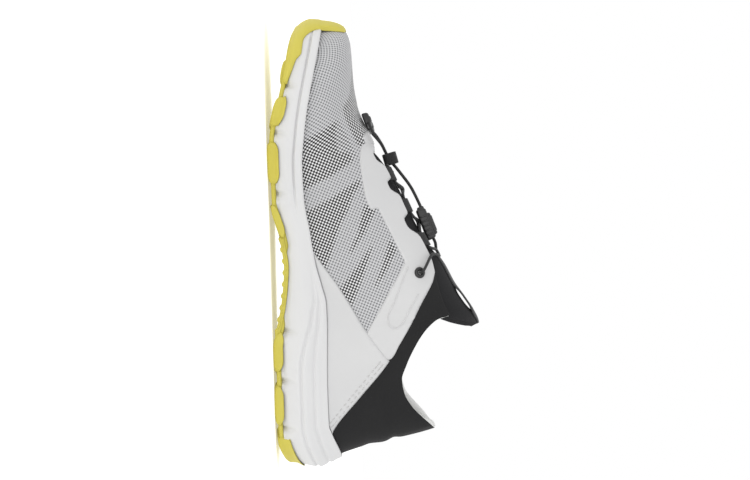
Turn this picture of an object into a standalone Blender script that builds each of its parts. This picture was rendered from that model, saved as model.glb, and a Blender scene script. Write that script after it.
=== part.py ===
# Right amphibious trail shoe, one shoe standing on its sole.
# Table lengths are millimetres: along is forward from the heel end, across is from the shoe's axis
# (the inner or medial side is positive) and heights are up from the floor.
# Frame: +X to the toe, +Y to the medial side, +Z up, origin under the middle of the shoe.

import math

import bmesh
import bpy
import numpy as np
from mathutils import Matrix, Vector

# Driving sizes, in millimetres
MM = 0.001
CENTRE_ALONG = 148.0  # middle of the length, where the frame has x = 0
CENTRE_ACROSS = -0.35  # middle of the width, where the frame has y = 0
GAP = 0.3  # between pieces that touch
WALL = 2.2  # mesh, film and lining together
COLLAR_WALL = 5.0  # padded neoprene at the collar
RIM = 2.4  # foam rim that wraps the foot of the upper
RUBBER_STEP = 5.0  # from the underside of the lugs to the foam
PLATE_UNDER = 3.2  # from the underside of the lugs to the plate between them
FLANK = 1.8  # rubber on the sidewall
BUMPER = 1.8  # rubber over the toe
BUMPER_GAP = 0.8
FOOT_GAP = 0.45  # between the foam rim and the foot of the upper
INSOLE_THICK = 4.0
TONGUE_THICK = 3.2
LACE_RADIUS = 0.9
HEEL_STATION = 20  # stations are counted from the toe tip, 0, to the heel tip

# Widest line of the sole, a row for each station
OUTLINE_COLUMNS = ("station", "along", "medial", "lateral")
OUTLINE = (
    (0, 293.5, 8.0, -8.0),
    (1, 291.6, 18.5, 2.8),
    (2, 286.8, 28.3, 13.0),
    (3, 279.2, 36.6, 23.2),
    (4, 269.0, 43.5, 31.8),
    (5, 256, 48.2, 39.8),
    (6, 240, 51.2, 46.3),
    (7, 222, 52.2, 51.3),
    (8, 204, 51.0, 54.0),
    (9, 188, 47.5, 54.0),
    (10, 172, 43.6, 51.6),
    (11, 154, 41.3, 47.2),
    (12, 132, 40.3, 43.8),
    (13, 108, 38.8, 42.0),
    (14, 84, 38.0, 40.6),
    (15, 60, 38.0, 40.0),
    (16, 40, 37.6, 38.6),
    (17, 24, 34.8, 34.8),
    (18, 11, 27.0, 26.8),
    (19, 3, 15.0, 15.0),
    (20, 0, 0.0, 0.0),
)

# Heights along the shoe: under is the tread's underside, bed the foam under the insole, rim the top of
# the foam's side, and flare is how far the rim stands in from the widest line
SOLE_COLUMNS = ("along", "under", "bed", "rim", "flare")
SOLE = (
    (-6, 13.0, 27.5, 42.5, 5.4),
    (0, 9.0, 27.3, 42.2, 5.4),
    (8, 4.6, 27.0, 40.4, 5.4),
    (20, 0.9, 26.3, 36.6, 5.4),
    (28, 0.0, 26.0, 34.6, 5.3),
    (58, 0.0, 25.6, 34.3, 5.1),
    (80, 0.0, 25.5, 34.8, 4.9),
    (97, 3.6, 25.3, 35.2, 4.4),
    (108, 6.0, 24.8, 35.0, 4.0),
    (120, 7.6, 23.6, 32.4, 3.4),
    (133, 8.5, 21.8, 29.2, 2.9),
    (145, 7.2, 20.0, 27.2, 2.4),
    (157, 4.8, 18.2, 25.6, 2.0),
    (168, 1.6, 16.9, 23.7, 1.7),
    (176, 0.0, 16.2, 22.8, 1.5),
    (197, 0.0, 15.6, 22.3, 1.3),
    (216, 0.0, 16.4, 24.0, 1.2),
    (232, 3.8, 18.6, 26.2, 1.2),
    (248, 7.8, 21.8, 29.2, 1.1),
    (263, 10.8, 25.0, 32.3, 0.9),
    (279, 13.6, 28.2, 35.2, 0.7),
    (290, 17.0, 30.2, 36.7, 0.6),
    (298, 20.5, 31.0, 37.4, 0.6),
)

# Side of the foam from its lower edge (rise 0) to the rim (rise 1)
SIDE_COLUMNS = ("rise", "tuck", "flare_share")
SIDE = (
    (0.00, 4.6, 0.0),
    (0.14, 2.0, 0.0),
    (0.30, 0.6, 0.0),
    (0.45, 0.0, 0.0),
    (0.72, 0.0, 0.42),
    (0.93, 0.0, 0.92),
    (1.00, 0.5, 1.0),
)

# Top line of the upper, a row for each section from the toe tip to the heel: toe ridge, throat edge with
# its tabs and notches, wings beside the tongue, collar. arrive is the angle at which the section comes in
# (0 level, 90 upright), slope the ridge's own rise forward, lean and the pulls shape the side
TOP_COLUMNS = (
    "station", "along", "centre", "half", "height", "arrive", "slope", "lean", "foot_pull", "top_pull",
)
TOP = (
    (0.0, 258.0, 6.0, 0.0, 56.3, 0, -0.04, 91, 19, 30),
    (2.0, 258.0, 6.0, 0.0, 56.3, 0, -0.04, 93, 18, 29),
    (4.4, 258.0, 6.0, 0.0, 56.3, 0, -0.04, 95, 17, 25),
    (5.0, 251.0, 4.8, 0.0, 56.8, 0, -0.07, 96, 17, 23),
    (6.0, 238.0, 3.0, 0.0, 58.8, 0, -0.24, 97, 17, 22),
    (7.0, 222.0, 1.0, 0.0, 64.8, 0, -0.42, 98, 19, 22),
    (7.5, 213.0, 0.0, 0.0, 68.6, 0, -0.45, 98, 21, 22),
    (7.7, 211.4, 0.0, 10.0, 68.8, 18, -0.40, 98, 21, 21),
    (8.0, 206.0, 0.0, 18.6, 69.6, 36, -0.30, 98, 21, 20),
    (8.2, 201.5, 0.0, 22.4, 70.6, 44, -0.20, 98, 21, 19),
    (8.45, 197.0, 0.0, 18.4, 76.0, 45, 0.0, 98, 22, 22),
    (9.0, 188.0, 0.0, 18.0, 80.6, 45, 0.0, 97, 23, 23),
    (9.25, 184.0, 0.0, 22.4, 77.6, 47, 0.0, 97, 23, 21),
    (9.5, 179.8, 0.0, 18.1, 84.4, 45, 0.0, 97, 24, 24),
    (10.0, 172.0, 0.0, 17.8, 87.6, 45, 0.0, 96, 26, 25),
    (10.5, 163.8, 0.0, 18.0, 91.2, 45, 0.0, 95, 28, 25),
    (10.75, 159.5, 0.0, 22.2, 88.4, 48, 0.0, 95, 28, 23),
    (11.0, 155.0, 0.0, 18.2, 95.4, 45, 0.0, 95, 30, 25),
    (11.5, 144.0, 0.0, 18.3, 101.0, 45, 0.0, 94, 32, 26),
    (12.0, 134.0, 0.0, 19.8, 105.2, 47, 0.0, 93, 33, 25),
    (12.4, 124.0, 0.0, 22.0, 107.2, 54, 0.0, 92, 32, 25),
    (13.0, 109.0, 0.0, 25.2, 111.0, 66, 0.0, 90, 28, 25),
    (13.4, 99.0, 0.0, 27.0, 115.2, 78, 0.0, 89, 26, 25),
    (13.7, 96.6, 0.0, 28.2, 108.0, 80, 0.0, 89, 24, 22),
    (14.0, 90.0, 0.0, 28.6, 100.0, 80, 0.0, 89, 22, 20),
    (14.5, 78.0, 0.0, 27.4, 91.8, 76, 0.0, 89, 20, 18),
    (15.0, 66.5, 0.0, 25.2, 86.2, 72, 0.0, 88, 18, 16),
    (15.5, 57.5, 0.0, 22.8, 83.2, 68, 0.0, 86, 17, 15),
    (16.0, 49.5, 0.0, 21.6, 84.2, 66, 0.0, 84, 17, 15),
    (17.0, 40.0, 0.0, 19.0, 88.8, 66, 0.0, 78, 18, 15),
    (18.0, 32.0, 0.0, 15.2, 96.0, 68, 0.0, 74, 20, 17),
    (19.0, 26.0, 0.0, 9.2, 102.0, 70, 0.0, 71, 21, 18),
    (20.0, 23.4, 0.0, 0.0, 104.2, 72, 0.0, 70, 22, 19),
)

# Tongue, a row for each section from under the vamp to its tip
TONGUE_COLUMNS = ("along", "crest", "half", "drop")
TONGUE = (
    (217.5, 62.8, 17.0, 5.5),
    (210.0, 66.6, 19.5, 8.0),
    (204.0, 71.6, 21.5, 11.5),
    (197.0, 76.6, 23.0, 13.0),
    (188.0, 82.0, 23.6, 14.2),
    (172.0, 89.4, 23.6, 14.6),
    (155.0, 97.4, 24.0, 15.0),
    (144.0, 104.0, 24.6, 17.0),
    (134.0, 112.0, 25.4, 21.5),
    (119.0, 119.8, 26.0, 23.8),
    (109.0, 126.2, 26.0, 26.5),
    (101.0, 131.4, 24.6, 26.5),
    (97.0, 133.6, 23.6, 20.0),
    (94.0, 134.6, 21.0, 9.0),
    (92.0, 134.8, 15.0, 3.0),
)
TONGUE_POWER = 2.2

# Tread blocks: inner and outer are shares of the half width (1 is the sole's edge), flank is how far the
# rubber rises on the sidewall above the tread's underside, skew moves the outer end forward
LUG_COLUMNS = ("name", "rear", "front", "inner", "outer", "flank", "skew")
EDGE_LUGS = (
    ("heel_corner", 9.0, 27.0, 0.42, 1.3, 7.6, -9.0),
    ("heel_mid", 33.0, 57.0, 0.40, 1.3, 6.2, -2.0),
    ("heel_front", 64.0, 88.0, 0.40, 1.3, 6.6, 2.0),
    ("arch_rear", 97.0, 116.0, 0.62, 1.3, 5.8, 2.0),
    ("arch_front", 121.0, 141.0, 0.62, 1.3, 5.8, 2.0),
    ("ball_rear", 148.0, 171.0, 0.45, 1.3, 7.6, 3.0),
    ("ball_mid", 184.0, 210.0, 0.42, 1.3, 7.2, 2.0),
    ("ball_front", 220.0, 240.0, 0.42, 1.3, 8.6, 2.0),
    ("toe_side", 250.0, 266.0, 0.40, 0.90, 4.2, 3.0),
)
MIDDLE_LUGS = (
    ("heel_a", 38.0, 52.0, 0.0, 0.26, 4.2, -7.0),
    ("heel_b", 66.0, 80.0, 0.0, 0.26, 4.2, -7.0),
    ("ball_a", 158.0, 170.0, 0.0, 0.32, 4.2, 8.0),
    ("ball_b", 180.0, 193.0, 0.0, 0.30, 4.2, 8.0),
    ("ball_c", 202.0, 215.0, 0.0, 0.30, 4.2, 8.0),
    ("toe_a", 226.0, 239.0, 0.0, 0.30, 4.2, 8.0),
    ("toe_b", 249.0, 261.0, 0.0, 0.28, 4.2, 8.0),
)
HEEL_LUGS = (("heel_end", -3.0, 11.0, 0.0, 1.15, 7.6, 4.0),)
PLATE_INSET = 6.5

# Lacing
LOOP_ALONG = {"front": 192.5, "middle": 171.5, "rear": 149.0}
LOOP_WIDTH = 9.5
LOOP_RADIUS = 2.45
LOOP_STRAP = 0.8
LOOP_LEG = 2.4
LOOP_ACROSS = 13.0
LOOP_LIFT = 2.3  # above the throat edge
EYELET_AT = 127.0
EYELET_RISE = 0.83  # share of the section's height
EYELET_RADIUS = 3.1
EYELET_WIRE = 0.9
LOCK_ALONG = 159.0
LOCK_HEIGHT = 103.2
LOCK_SIZE = (22.0, 14.0, 8.6)
LOCK_TILT = 20.0
KEEPER_ALONG = 202.4
KEEPER_SIZE = (7.6, 17.0, 9.4)
KEEPER_STRAP = 1.3
KEEPER_TILT = 15.0
PULL_ALONG = 226.5
PULL_SIZE = (8.6, 29.0, 4.6)
PULL_LIFT = 3.6

LOOKS = {
    "outsole": (0.80, 0.86, 0.08, 0.7),
    "midsole": (0.83, 0.83, 0.80, 0.8),
    "insole": (0.45, 0.46, 0.48, 0.9),
    "upper": (0.72, 0.73, 0.74, 0.85),
    "tongue": (0.02, 0.02, 0.025, 0.9),
    "lace": (0.015, 0.015, 0.015, 0.7),
    "webbing": (0.02, 0.02, 0.02, 0.85),
    "plastic": (0.02, 0.02, 0.02, 0.45),
}


# Smooth curves through the tables
def smooth_through(keys, values, at):
    """A curve through the rows that never swings past them."""
    keys = np.asarray(keys, float)
    values = np.asarray(values, float)
    step = np.diff(keys)
    rise = np.diff(values) / step
    pull = np.zeros(len(keys))
    for i in range(1, len(keys) - 1):
        if rise[i - 1] * rise[i] > 0:
            before = 2 * step[i] + step[i - 1]
            after = step[i] + 2 * step[i - 1]
            pull[i] = (before + after) / (before / rise[i - 1] + after / rise[i])
    at = np.clip(at, keys[0], keys[-1])
    i = int(np.clip(np.searchsorted(keys, at, side="right") - 1, 0, len(step) - 1))
    t = (at - keys[i]) / step[i]
    start = values[i] * (1 + 2 * t) * (1 - t) ** 2 + pull[i] * step[i] * t * (1 - t) ** 2
    end = values[i + 1] * t * t * (3 - 2 * t) + pull[i + 1] * step[i] * t * t * (t - 1)
    return float(start + end)


def reader(table, columns):
    """A function that reads a named column of a table at a key."""
    by_key = sorted(table, key=lambda row: row[0])
    keys = [row[0] for row in by_key]

    def read(name, at):
        place = columns.index(name)
        return smooth_through(keys, [row[place] for row in by_key], at)

    return read


sole_at = reader(SOLE, SOLE_COLUMNS)
top_at = reader(TOP, TOP_COLUMNS)
tongue_at = reader(TONGUE, TONGUE_COLUMNS)
side_at = reader(SIDE, SIDE_COLUMNS)


def closed_spline(points):
    """Second derivatives of a closed cubic curve through the points, one unit of station apart each."""
    points = np.asarray(points, float)
    count = len(points)
    system = np.zeros((count, count))
    for i in range(count):
        system[i, i - 1] += 1
        system[i, i] += 4
        system[i, (i + 1) % count] += 1
    bend = 6 * (np.roll(points, 1, 0) - 2 * points + np.roll(points, -1, 0))
    return points, np.linalg.solve(system, bend)


OUTLINE_LOOP, OUTLINE_BEND = closed_spline(
    [(row[1], row[2]) for row in OUTLINE] + [(row[1], -row[3]) for row in OUTLINE[-2:0:-1]]
)


def outline_point(station, side):
    """The widest line's point and its outward direction, in plan."""
    count = len(OUTLINE_LOOP)
    turn = (station if side > 0 else count - station) % count
    i = int(turn) % count
    j = (i + 1) % count
    t = turn - int(turn)
    a, b = OUTLINE_LOOP[i], OUTLINE_LOOP[j]
    p, q = OUTLINE_BEND[i], OUTLINE_BEND[j]
    point = a * (1 - t) + b * t + ((1 - t) ** 3 - (1 - t)) * p / 6 + (t**3 - t) * q / 6
    ahead = b - a + (1 - 3 * (1 - t) ** 2) * p / 6 + (3 * t * t - 1) * q / 6
    ahead = ahead / np.linalg.norm(ahead)
    return point, np.array((ahead[1], -ahead[0]))


def plan_point(station, side, inset):
    point, outward = outline_point(station, side)
    return point - outward * inset


def foot_inset(station, side):
    along = outline_point(station, side)[0][0]
    return sole_at("flare", along) + RIM + FOOT_GAP


def upper_point(station, side, rise):
    """A point of the upper's outer face: rise -1 to 0 is the skirt inside the foam rim, 0 to 1 the side."""
    base, outward = outline_point(station, side)
    foot_plan = base - outward * foot_inset(station, side)
    rim = sole_at("rim", base[0])
    foot = np.array((foot_plan[0], foot_plan[1], rim))
    if rise < 0:
        foot[2] = rim + rise * (rim - sole_at("bed", foot_plan[0]) - GAP)
        return foot
    top = np.array((
        top_at("along", station),
        top_at("centre", station) + side * top_at("half", station),
        top_at("height", station),
    ))
    lean = math.radians(top_at("lean", station))
    upward = np.array((-outward[0] * math.cos(lean), -outward[1] * math.cos(lean), math.sin(lean)))
    inward = top[:2] - foot[:2]
    inward = inward / max(np.linalg.norm(inward), 1e-6)
    arrive = math.radians(top_at("arrive", station))
    arrival = np.array((
        inward[0] * math.cos(arrive),
        inward[1] * math.cos(arrive),
        math.sin(arrive) + top_at("slope", station) * inward[0] * math.cos(arrive),
    ))
    first = foot + upward * top_at("foot_pull", station)
    second = top - arrival * top_at("top_pull", station)
    t = rise
    return (
        foot * (1 - t) ** 3 + first * 3 * t * (1 - t) ** 2 + second * 3 * t * t * (1 - t) + top * t**3
    )


def upper_normal(station, side, rise):
    """Outward direction of the upper's face."""
    step = 0.02
    low = max(rise - step, 0.0)
    high = min(rise + step, 1.0)
    up = upper_point(station, side, high) - upper_point(station, side, low)
    back = upper_point(station + step, side, rise) - upper_point(station - step, side, rise)
    normal = np.cross(back, up) * side
    return normal / np.linalg.norm(normal)


# Blender helpers
def clear_scene():
    for old in list(bpy.data.objects):
        bpy.data.objects.remove(old, do_unlink=True)


def new_collection(name, shown):
    collection = bpy.data.collections.new(name)
    bpy.context.scene.collection.children.link(collection)
    collection.hide_render = not shown
    return collection


def new_material(name, look):
    material = bpy.data.materials.new(name)
    material.use_nodes = True
    shader = material.node_tree.nodes["Principled BSDF"]
    shader.inputs["Base Color"].default_value = (look[0], look[1], look[2], 1.0)
    shader.inputs["Roughness"].default_value = look[3]
    return material


def in_frame(point):
    """Table millimetres to the frame's metres."""
    return Vector(((point[0] - CENTRE_ALONG) * MM, (point[1] - CENTRE_ACROSS) * MM, point[2] * MM))


def add_object(name, data, look=None):
    shape = bpy.data.objects.new(name, data)
    if look is None:
        cutters.objects.link(shape)
        shape.hide_render = True
        shape.display_type = "WIRE"
    else:
        parts.objects.link(shape)
        shape.parent = root
        data.materials.append(new_material(name + "_material", LOOKS[look]))
    return shape


def add_grid(mesh, across, up, place):
    """A grid of faces whose corner (i, j) goes to place(i, j)."""
    made = bmesh.ops.create_grid(mesh, x_segments=across, y_segments=up, size=0.5)
    for corner in made["verts"]:
        i = round((corner.co.x + 0.5) * across)
        j = round((corner.co.y + 0.5) * up)
        corner.co = in_frame(place(i, j))


def to_object(name, mesh, look=None, closed=True, smooth=True):
    bmesh.ops.remove_doubles(mesh, verts=mesh.verts, dist=2e-5)
    bmesh.ops.dissolve_degenerate(mesh, edges=mesh.edges, dist=1e-6)
    if closed:
        bmesh.ops.recalc_face_normals(mesh, faces=mesh.faces)
    for face in mesh.faces:
        face.smooth = smooth
    data = bpy.data.meshes.new(name)
    mesh.to_mesh(data)
    mesh.free()
    return add_object(name, data, look)


def loft(name, rings, half, look=None):
    """A solid through rings of points; each ring's two halves are paired across the caps."""
    mesh = bmesh.new()
    count = len(rings[0])
    add_grid(mesh, count, len(rings) - 1, lambda i, j: rings[j][i % count])
    for ring in (rings[0], rings[-1]):
        add_grid(mesh, half, 1, lambda i, j, ring=ring: ring[i] if j == 0 else ring[-i])
    return to_object(name, mesh, look)


def boolean(shape, operation, other):
    modifier = shape.modifiers.new(operation.lower() + "_" + other.name, "BOOLEAN")
    modifier.operation = operation
    modifier.solver = "EXACT"
    modifier.object = other


def solidify(shape, thick, offset=-1.0):
    modifier = shape.modifiers.new("wall", "SOLIDIFY")
    modifier.thickness = thick * MM
    modifier.offset = offset
    return modifier


def round_edges(shape, width, segments=2):
    modifier = shape.modifiers.new("round", "BEVEL")
    modifier.width = width * MM
    modifier.segments = segments
    modifier.limit_method = "ANGLE"
    modifier.angle_limit = math.radians(40)


# Sole
SOLE_HALF = 31  # ring points on each side


def ring_stations(half):
    """(station, side) round the shoe from the toe tip by the medial side, and back by the lateral side."""
    medial = [(i * HEEL_STATION / half, 1) for i in range(half + 1)]
    lateral = [(i * HEEL_STATION / half, -1) for i in range(half - 1, 0, -1)]
    return medial + lateral


def side_ring(rise, grow, lower, upper_edge=0.0):
    """A ring on the foam's side, grown outward; lower moves its lower edge down."""
    ring = []
    for station, side in ring_stations(SOLE_HALF):
        base = outline_point(station, side)[0]
        flare = sole_at("flare", base[0])
        inset = side_at("tuck", rise) + side_at("flare_share", rise) * flare - grow
        point = plan_point(station, side, inset)
        bottom = sole_at("under", point[0]) + RUBBER_STEP - lower
        height = bottom + rise * (sole_at("rim", base[0]) - bottom)
        if rise == 1:
            height += upper_edge
        ring.append((point[0], point[1], height))
    return ring


def tray_ring(inset_more, column, lift=0.0):
    """A ring inside the foam's rim, at the height of a column of the sole table."""
    ring = []
    for station, side in ring_stations(SOLE_HALF):
        base = outline_point(station, side)[0]
        point = plan_point(station, side, sole_at("flare", base[0]) + RIM + inset_more)
        key = base[0] if column == "rim" else point[0]
        ring.append((point[0], point[1], sole_at(column, key) + lift))
    return ring


def make_midsole():
    rings = [side_ring(row[0], 0.0, 0.0) for row in SIDE]
    rings.append(tray_ring(0.0, "rim"))
    rings.append(tray_ring(0.0, "bed"))
    return loft("midsole", rings, SOLE_HALF, "midsole")


def make_insole():
    inset = WALL + FOOT_GAP + 2 * GAP + 0.2
    rings = [
        tray_ring(inset + 0.6, "bed", GAP),
        tray_ring(inset, "bed", GAP + 0.8),
        tray_ring(inset, "bed", GAP + INSOLE_THICK),
        tray_ring(inset + 5.0, "bed", GAP + INSOLE_THICK - 0.6),
    ]
    return loft("insole", rings, SOLE_HALF, "insole")


def half_width(along, side):
    """Half width of the widest line at a place along the shoe."""
    ends = [row for row in OUTLINE if row[0] > 0 and row[0] < HEEL_STATION]
    ends = sorted(ends, key=lambda row: row[1])
    column = OUTLINE_COLUMNS.index("medial" if side > 0 else "lateral")
    return smooth_through([row[1] for row in ends], [row[column] for row in ends], along)


def lug_corners(row, side, mirrored):
    """Corners of a tread block in plan."""
    _, rear, front, inner, outer, _, skew = row
    corners = []
    for along, share in ((rear, inner), (front, inner), (front, outer), (rear, outer)):
        shift = skew * (share - inner) / max(outer - inner, 1e-6)
        width = half_width(along, side)
        corners.append((along + shift, side * share * width))
    if mirrored:
        far = [(along, -side * outer * half_width(along, -side)) for along, _ in corners[2:]]
        rear_far = (rear + skew, far[1][1])
        front_far = (front + skew, far[0][1])
        corners = [corners[3], (rear, 0.0), rear_far, front_far, (front, 0.0), corners[2]]
    return corners


def add_prism(mesh, corners, bottom, top):
    """A block with upright sides on a plan outline."""
    face = mesh.faces.new([mesh.verts.new(in_frame((x, y, bottom))) for x, y in corners])
    raised = bmesh.ops.extrude_face_region(mesh, geom=[face])["geom"]
    moved = [item for item in raised if isinstance(item, bmesh.types.BMVert)]
    bmesh.ops.translate(mesh, verts=moved, vec=Vector((0, 0, (top - bottom) * MM)))


def make_lugs(name, edge_rows, middle_rows):
    """Tread blocks as tall prisms; edge rows have one on each side."""
    mesh = bmesh.new()
    below = -10.0
    for row in edge_rows:
        for side in (1, -1):
            middle = (row[1] + row[2]) / 2
            add_prism(mesh, lug_corners(row, side, False), below, sole_at("under", middle) + row[5])
    for row in middle_rows:
        middle = (row[1] + row[2]) / 2
        add_prism(mesh, lug_corners(row, 1, True), below, sole_at("under", middle) + row[5])
    return to_object(name, mesh)


def make_plate():
    """The thin plate between the tread blocks, as a form that reaches up into the foam."""
    rings = []
    for lift in (PLATE_UNDER, RUBBER_STEP + 3.0):
        ring = []
        for station, side in ring_stations(SOLE_HALF):
            point = plan_point(station, side, PLATE_INSET)
            ring.append((point[0], point[1], sole_at("under", point[0]) + lift))
        rings.append(ring)
    return loft("cut_plate", rings, SOLE_HALF)


# Rubber over the toe: top is how far up it goes, 0 to 1 on the foam's side and 1 to 2 on the upper
BUMPER_COLUMNS = ("station", "top")
BUMPER_TOP = (
    (0.0, 1.46),
    (1.1, 1.43),
    (1.6, 1.24),
    (1.85, 0.94),
    (2.2, 0.66),
    (3.0, 0.40),
    (3.9, 0.42),
    (4.2, 0.26),
    (4.75, 0.17),
    (5.3, 0.08),
)
BUMPER_STATIONS = (0.0, 0.5, 1.0, 1.35, 1.6, 1.85, 2.2, 2.6, 3.0, 3.5, 3.9, 4.2, 4.75, 5.3)
BUMPER_UNDER = (15.0, 8.0)  # insets of the part that lies under the sole
BUMPER_LEVELS = 7
bumper_at = reader(BUMPER_TOP, BUMPER_COLUMNS)


def toe_face(station, side, level):
    """A point on the front of the shoe, just outside it: level 0 to 1 on the foam, 1 to 2 on the upper."""
    base, outward = outline_point(station, side)
    if level > 1.08:
        rise = level - 1
        return upper_point(station, side, rise) + upper_normal(station, side, rise) * (BUMPER_GAP + GAP)
    rise = min(level, 0.97)
    flare = sole_at("flare", base[0])
    inset = side_at("tuck", rise) + side_at("flare_share", rise) * flare - BUMPER_GAP
    point = plan_point(station, side, inset)
    bottom = sole_at("under", point[0]) + RUBBER_STEP - BUMPER_GAP
    return np.array((point[0], point[1], bottom + rise * (sole_at("rim", base[0]) - bottom)))


def bumper_row(station, side):
    """Points from under the sole up to the bumper's edge, for one section of the toe."""
    row = []
    for inset in BUMPER_UNDER:
        point = plan_point(station, side, inset)
        row.append((point[0], point[1], sole_at("under", point[0]) + RUBBER_STEP - BUMPER_GAP))
    top = bumper_at("top", station)
    for j in range(BUMPER_LEVELS + 1):
        row.append(toe_face(station, side, top * j / BUMPER_LEVELS))
    return row


def make_bumper():
    mesh = bmesh.new()
    sweep = [(s, -1) for s in reversed(BUMPER_STATIONS)] + [(s, 1) for s in BUMPER_STATIONS[1:]]
    rows = [bumper_row(station, side) for station, side in sweep]
    add_grid(mesh, len(rows) - 1, len(rows[0]) - 1, lambda i, j: rows[i][j])
    sheet = to_object("cut_bumper", mesh, closed=False)
    solidify(sheet, BUMPER, 1.0)
    return sheet


def make_outsole():
    outer = [side_ring(0.0, FLANK - 1.0, RUBBER_STEP)]
    outer += [side_ring(row[0], FLANK + GAP, 0.5) for row in SIDE]
    inner = [side_ring(row[0], GAP, GAP, GAP) for row in SIDE]
    outsole = loft("outsole", outer, SOLE_HALF, "outsole")
    boolean(outsole, "DIFFERENCE", loft("cut_foam", inner, SOLE_HALF))
    keep = make_plate()
    boolean(keep, "UNION", make_lugs("cut_lugs", EDGE_LUGS, MIDDLE_LUGS))
    boolean(keep, "UNION", make_lugs("cut_heel_lug", (), HEEL_LUGS))
    boolean(outsole, "INTERSECT", keep)
    boolean(outsole, "UNION", make_bumper())
    return outsole


# Upper
UPPER_RISES = (-1.0, 0.0, 0.16, 0.32, 0.48, 0.64, 0.82, 1.0)


def upper_stations():
    """Stations of the upper's sections: each row of its table and the places between."""
    listed = [0.0, 0.6, 1.2, 1.8, 2.4, 3.0, 3.7]
    rows = [row[0] for row in TOP if row[0] > 4]
    for a, b in zip(rows[:-1], rows[1:]):
        listed += [a, (a + b) / 2] if a < 12 or b - a > 0.8 else [a]
    return listed + [rows[-1]]


def make_upper():
    listed = upper_stations()
    sweep = [(s, 1) for s in listed] + [(s, -1) for s in reversed(listed[:-1])]
    mesh = bmesh.new()
    add_grid(
        mesh, len(sweep) - 1, len(UPPER_RISES) - 1,
        lambda i, j: upper_point(sweep[i][0], sweep[i][1], UPPER_RISES[j]),
    )
    upper = to_object("upper", mesh, "upper", closed=False)
    thick = upper.vertex_groups.new(name="wall_thickness")
    for corner in upper.data.vertices:
        along = corner.co.x / MM + CENTRE_ALONG
        height = corner.co.z / MM
        padded = min(max((94.0 - along) / 18.0, 0.0), 1.0) * min(max((height - 55.0) / 25.0, 0.0), 1.0)
        wall = WALL + (COLLAR_WALL - WALL) * padded
        thick.add([corner.index], wall / COLLAR_WALL, "REPLACE")
    modifier = solidify(upper, COLLAR_WALL)
    modifier.vertex_group = thick.name
    return upper


# Tongue
TONGUE_ACROSS = 8


def tongue_point(along, share, lower=0.0):
    """A point of the tongue's upper face; share runs from -1 on the lateral edge to 1."""
    drop = tongue_at("drop", along) * abs(share) ** TONGUE_POWER
    return (along, share * tongue_at("half", along), tongue_at("crest", along) - drop - lower)


def make_tongue():
    rows = [row[0] for row in TONGUE]
    listed = []
    for a, b in zip(rows[:-1], rows[1:]):
        listed += [a, (a + b) / 2] if a - b > 6 else [a]
    listed.append(rows[-1])
    mesh = bmesh.new()
    add_grid(
        mesh, len(listed) - 1, TONGUE_ACROSS,
        lambda i, j: tongue_point(listed[len(listed) - 1 - i], 2 * j / TONGUE_ACROSS - 1),
    )
    tongue = to_object("tongue", mesh, "tongue", closed=False)
    solidify(tongue, TONGUE_THICK)
    return tongue


# Lacing
def throat_edge(along, side):
    """The throat edge at a place along it, without its notches."""
    tabs = sorted((row for row in TOP if 120 < row[1] < 200 and row[3] < 20.5), key=lambda row: row[1])
    keys = [row[1] for row in tabs]
    half = smooth_through(keys, [row[3] for row in tabs], along)
    return np.array((along, side * half, smooth_through(keys, [row[4] for row in tabs], along)))


def throat_slope(along):
    """Angle at which the throat rises to the rear."""
    step = 6.0
    rise = throat_edge(along - step, 1)[2] - throat_edge(along + step, 1)[2]
    return math.atan2(rise, 2 * step)


def turned_box(name, size, centre, slope, look, rounding, segments=2):
    """A block laid on the slope of the throat, with rounded edges."""
    mesh = bmesh.new()
    made = bmesh.ops.create_cube(mesh, size=1.0)
    bmesh.ops.scale(mesh, verts=made["verts"], vec=Vector(size) * MM)
    turn = Matrix.Translation(in_frame(centre)) @ Matrix.Rotation(slope, 4, "Y")
    bmesh.ops.transform(mesh, verts=mesh.verts, matrix=turn)
    shape = to_object(name, mesh, look, smooth=False)
    round_edges(shape, rounding, segments)
    return shape


def make_loop(name, along, side):
    """A webbing loop, a strap bent round the lace with its open side to the throat edge."""
    edge = throat_edge(along, side)
    turns = 6
    outer = [(LOOP_LEG, LOOP_RADIUS)]
    inner = [(LOOP_LEG, LOOP_RADIUS - LOOP_STRAP)]
    for i in range(turns + 1):
        angle = math.pi / 2 + math.pi * i / turns
        direction = (math.cos(angle), math.sin(angle))
        outer.append((direction[0] * LOOP_RADIUS, direction[1] * LOOP_RADIUS))
        inside = LOOP_RADIUS - LOOP_STRAP
        inner.append((direction[0] * inside, direction[1] * inside))
    outer.append((LOOP_LEG, -LOOP_RADIUS))
    inner.append((LOOP_LEG, -(LOOP_RADIUS - LOOP_STRAP)))
    profile = outer + inner[::-1]
    mesh = bmesh.new()
    corners = [mesh.verts.new(Vector((-LOOP_WIDTH / 2, side * a, b)) * MM) for a, b in profile]
    face = mesh.faces.new(corners)
    raised = bmesh.ops.extrude_face_region(mesh, geom=[face])["geom"]
    moved = [item for item in raised if isinstance(item, bmesh.types.BMVert)]
    bmesh.ops.translate(mesh, verts=moved, vec=Vector((LOOP_WIDTH * MM, 0, 0)))
    place = (along, side * LOOP_ACROSS, edge[2] + LOOP_LIFT)
    turn = Matrix.Translation(in_frame(place)) @ Matrix.Rotation(throat_slope(along), 4, "Y")
    bmesh.ops.transform(mesh, verts=mesh.verts, matrix=turn)
    return to_object(name, mesh, "webbing", smooth=False)


def route_through(points, spacing):
    """Evenly spaced points of a smooth route through the listed places."""
    points = np.asarray(points, float)
    lengths = np.concatenate([[0], np.cumsum(np.linalg.norm(np.diff(points, axis=0), axis=1))])
    count = max(2, int(round(lengths[-1] / spacing)))
    route = []
    for at in np.linspace(0, lengths[-1], count + 1):
        route.append([smooth_through(lengths, points[:, k], at) for k in range(3)])
    return route


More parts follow.
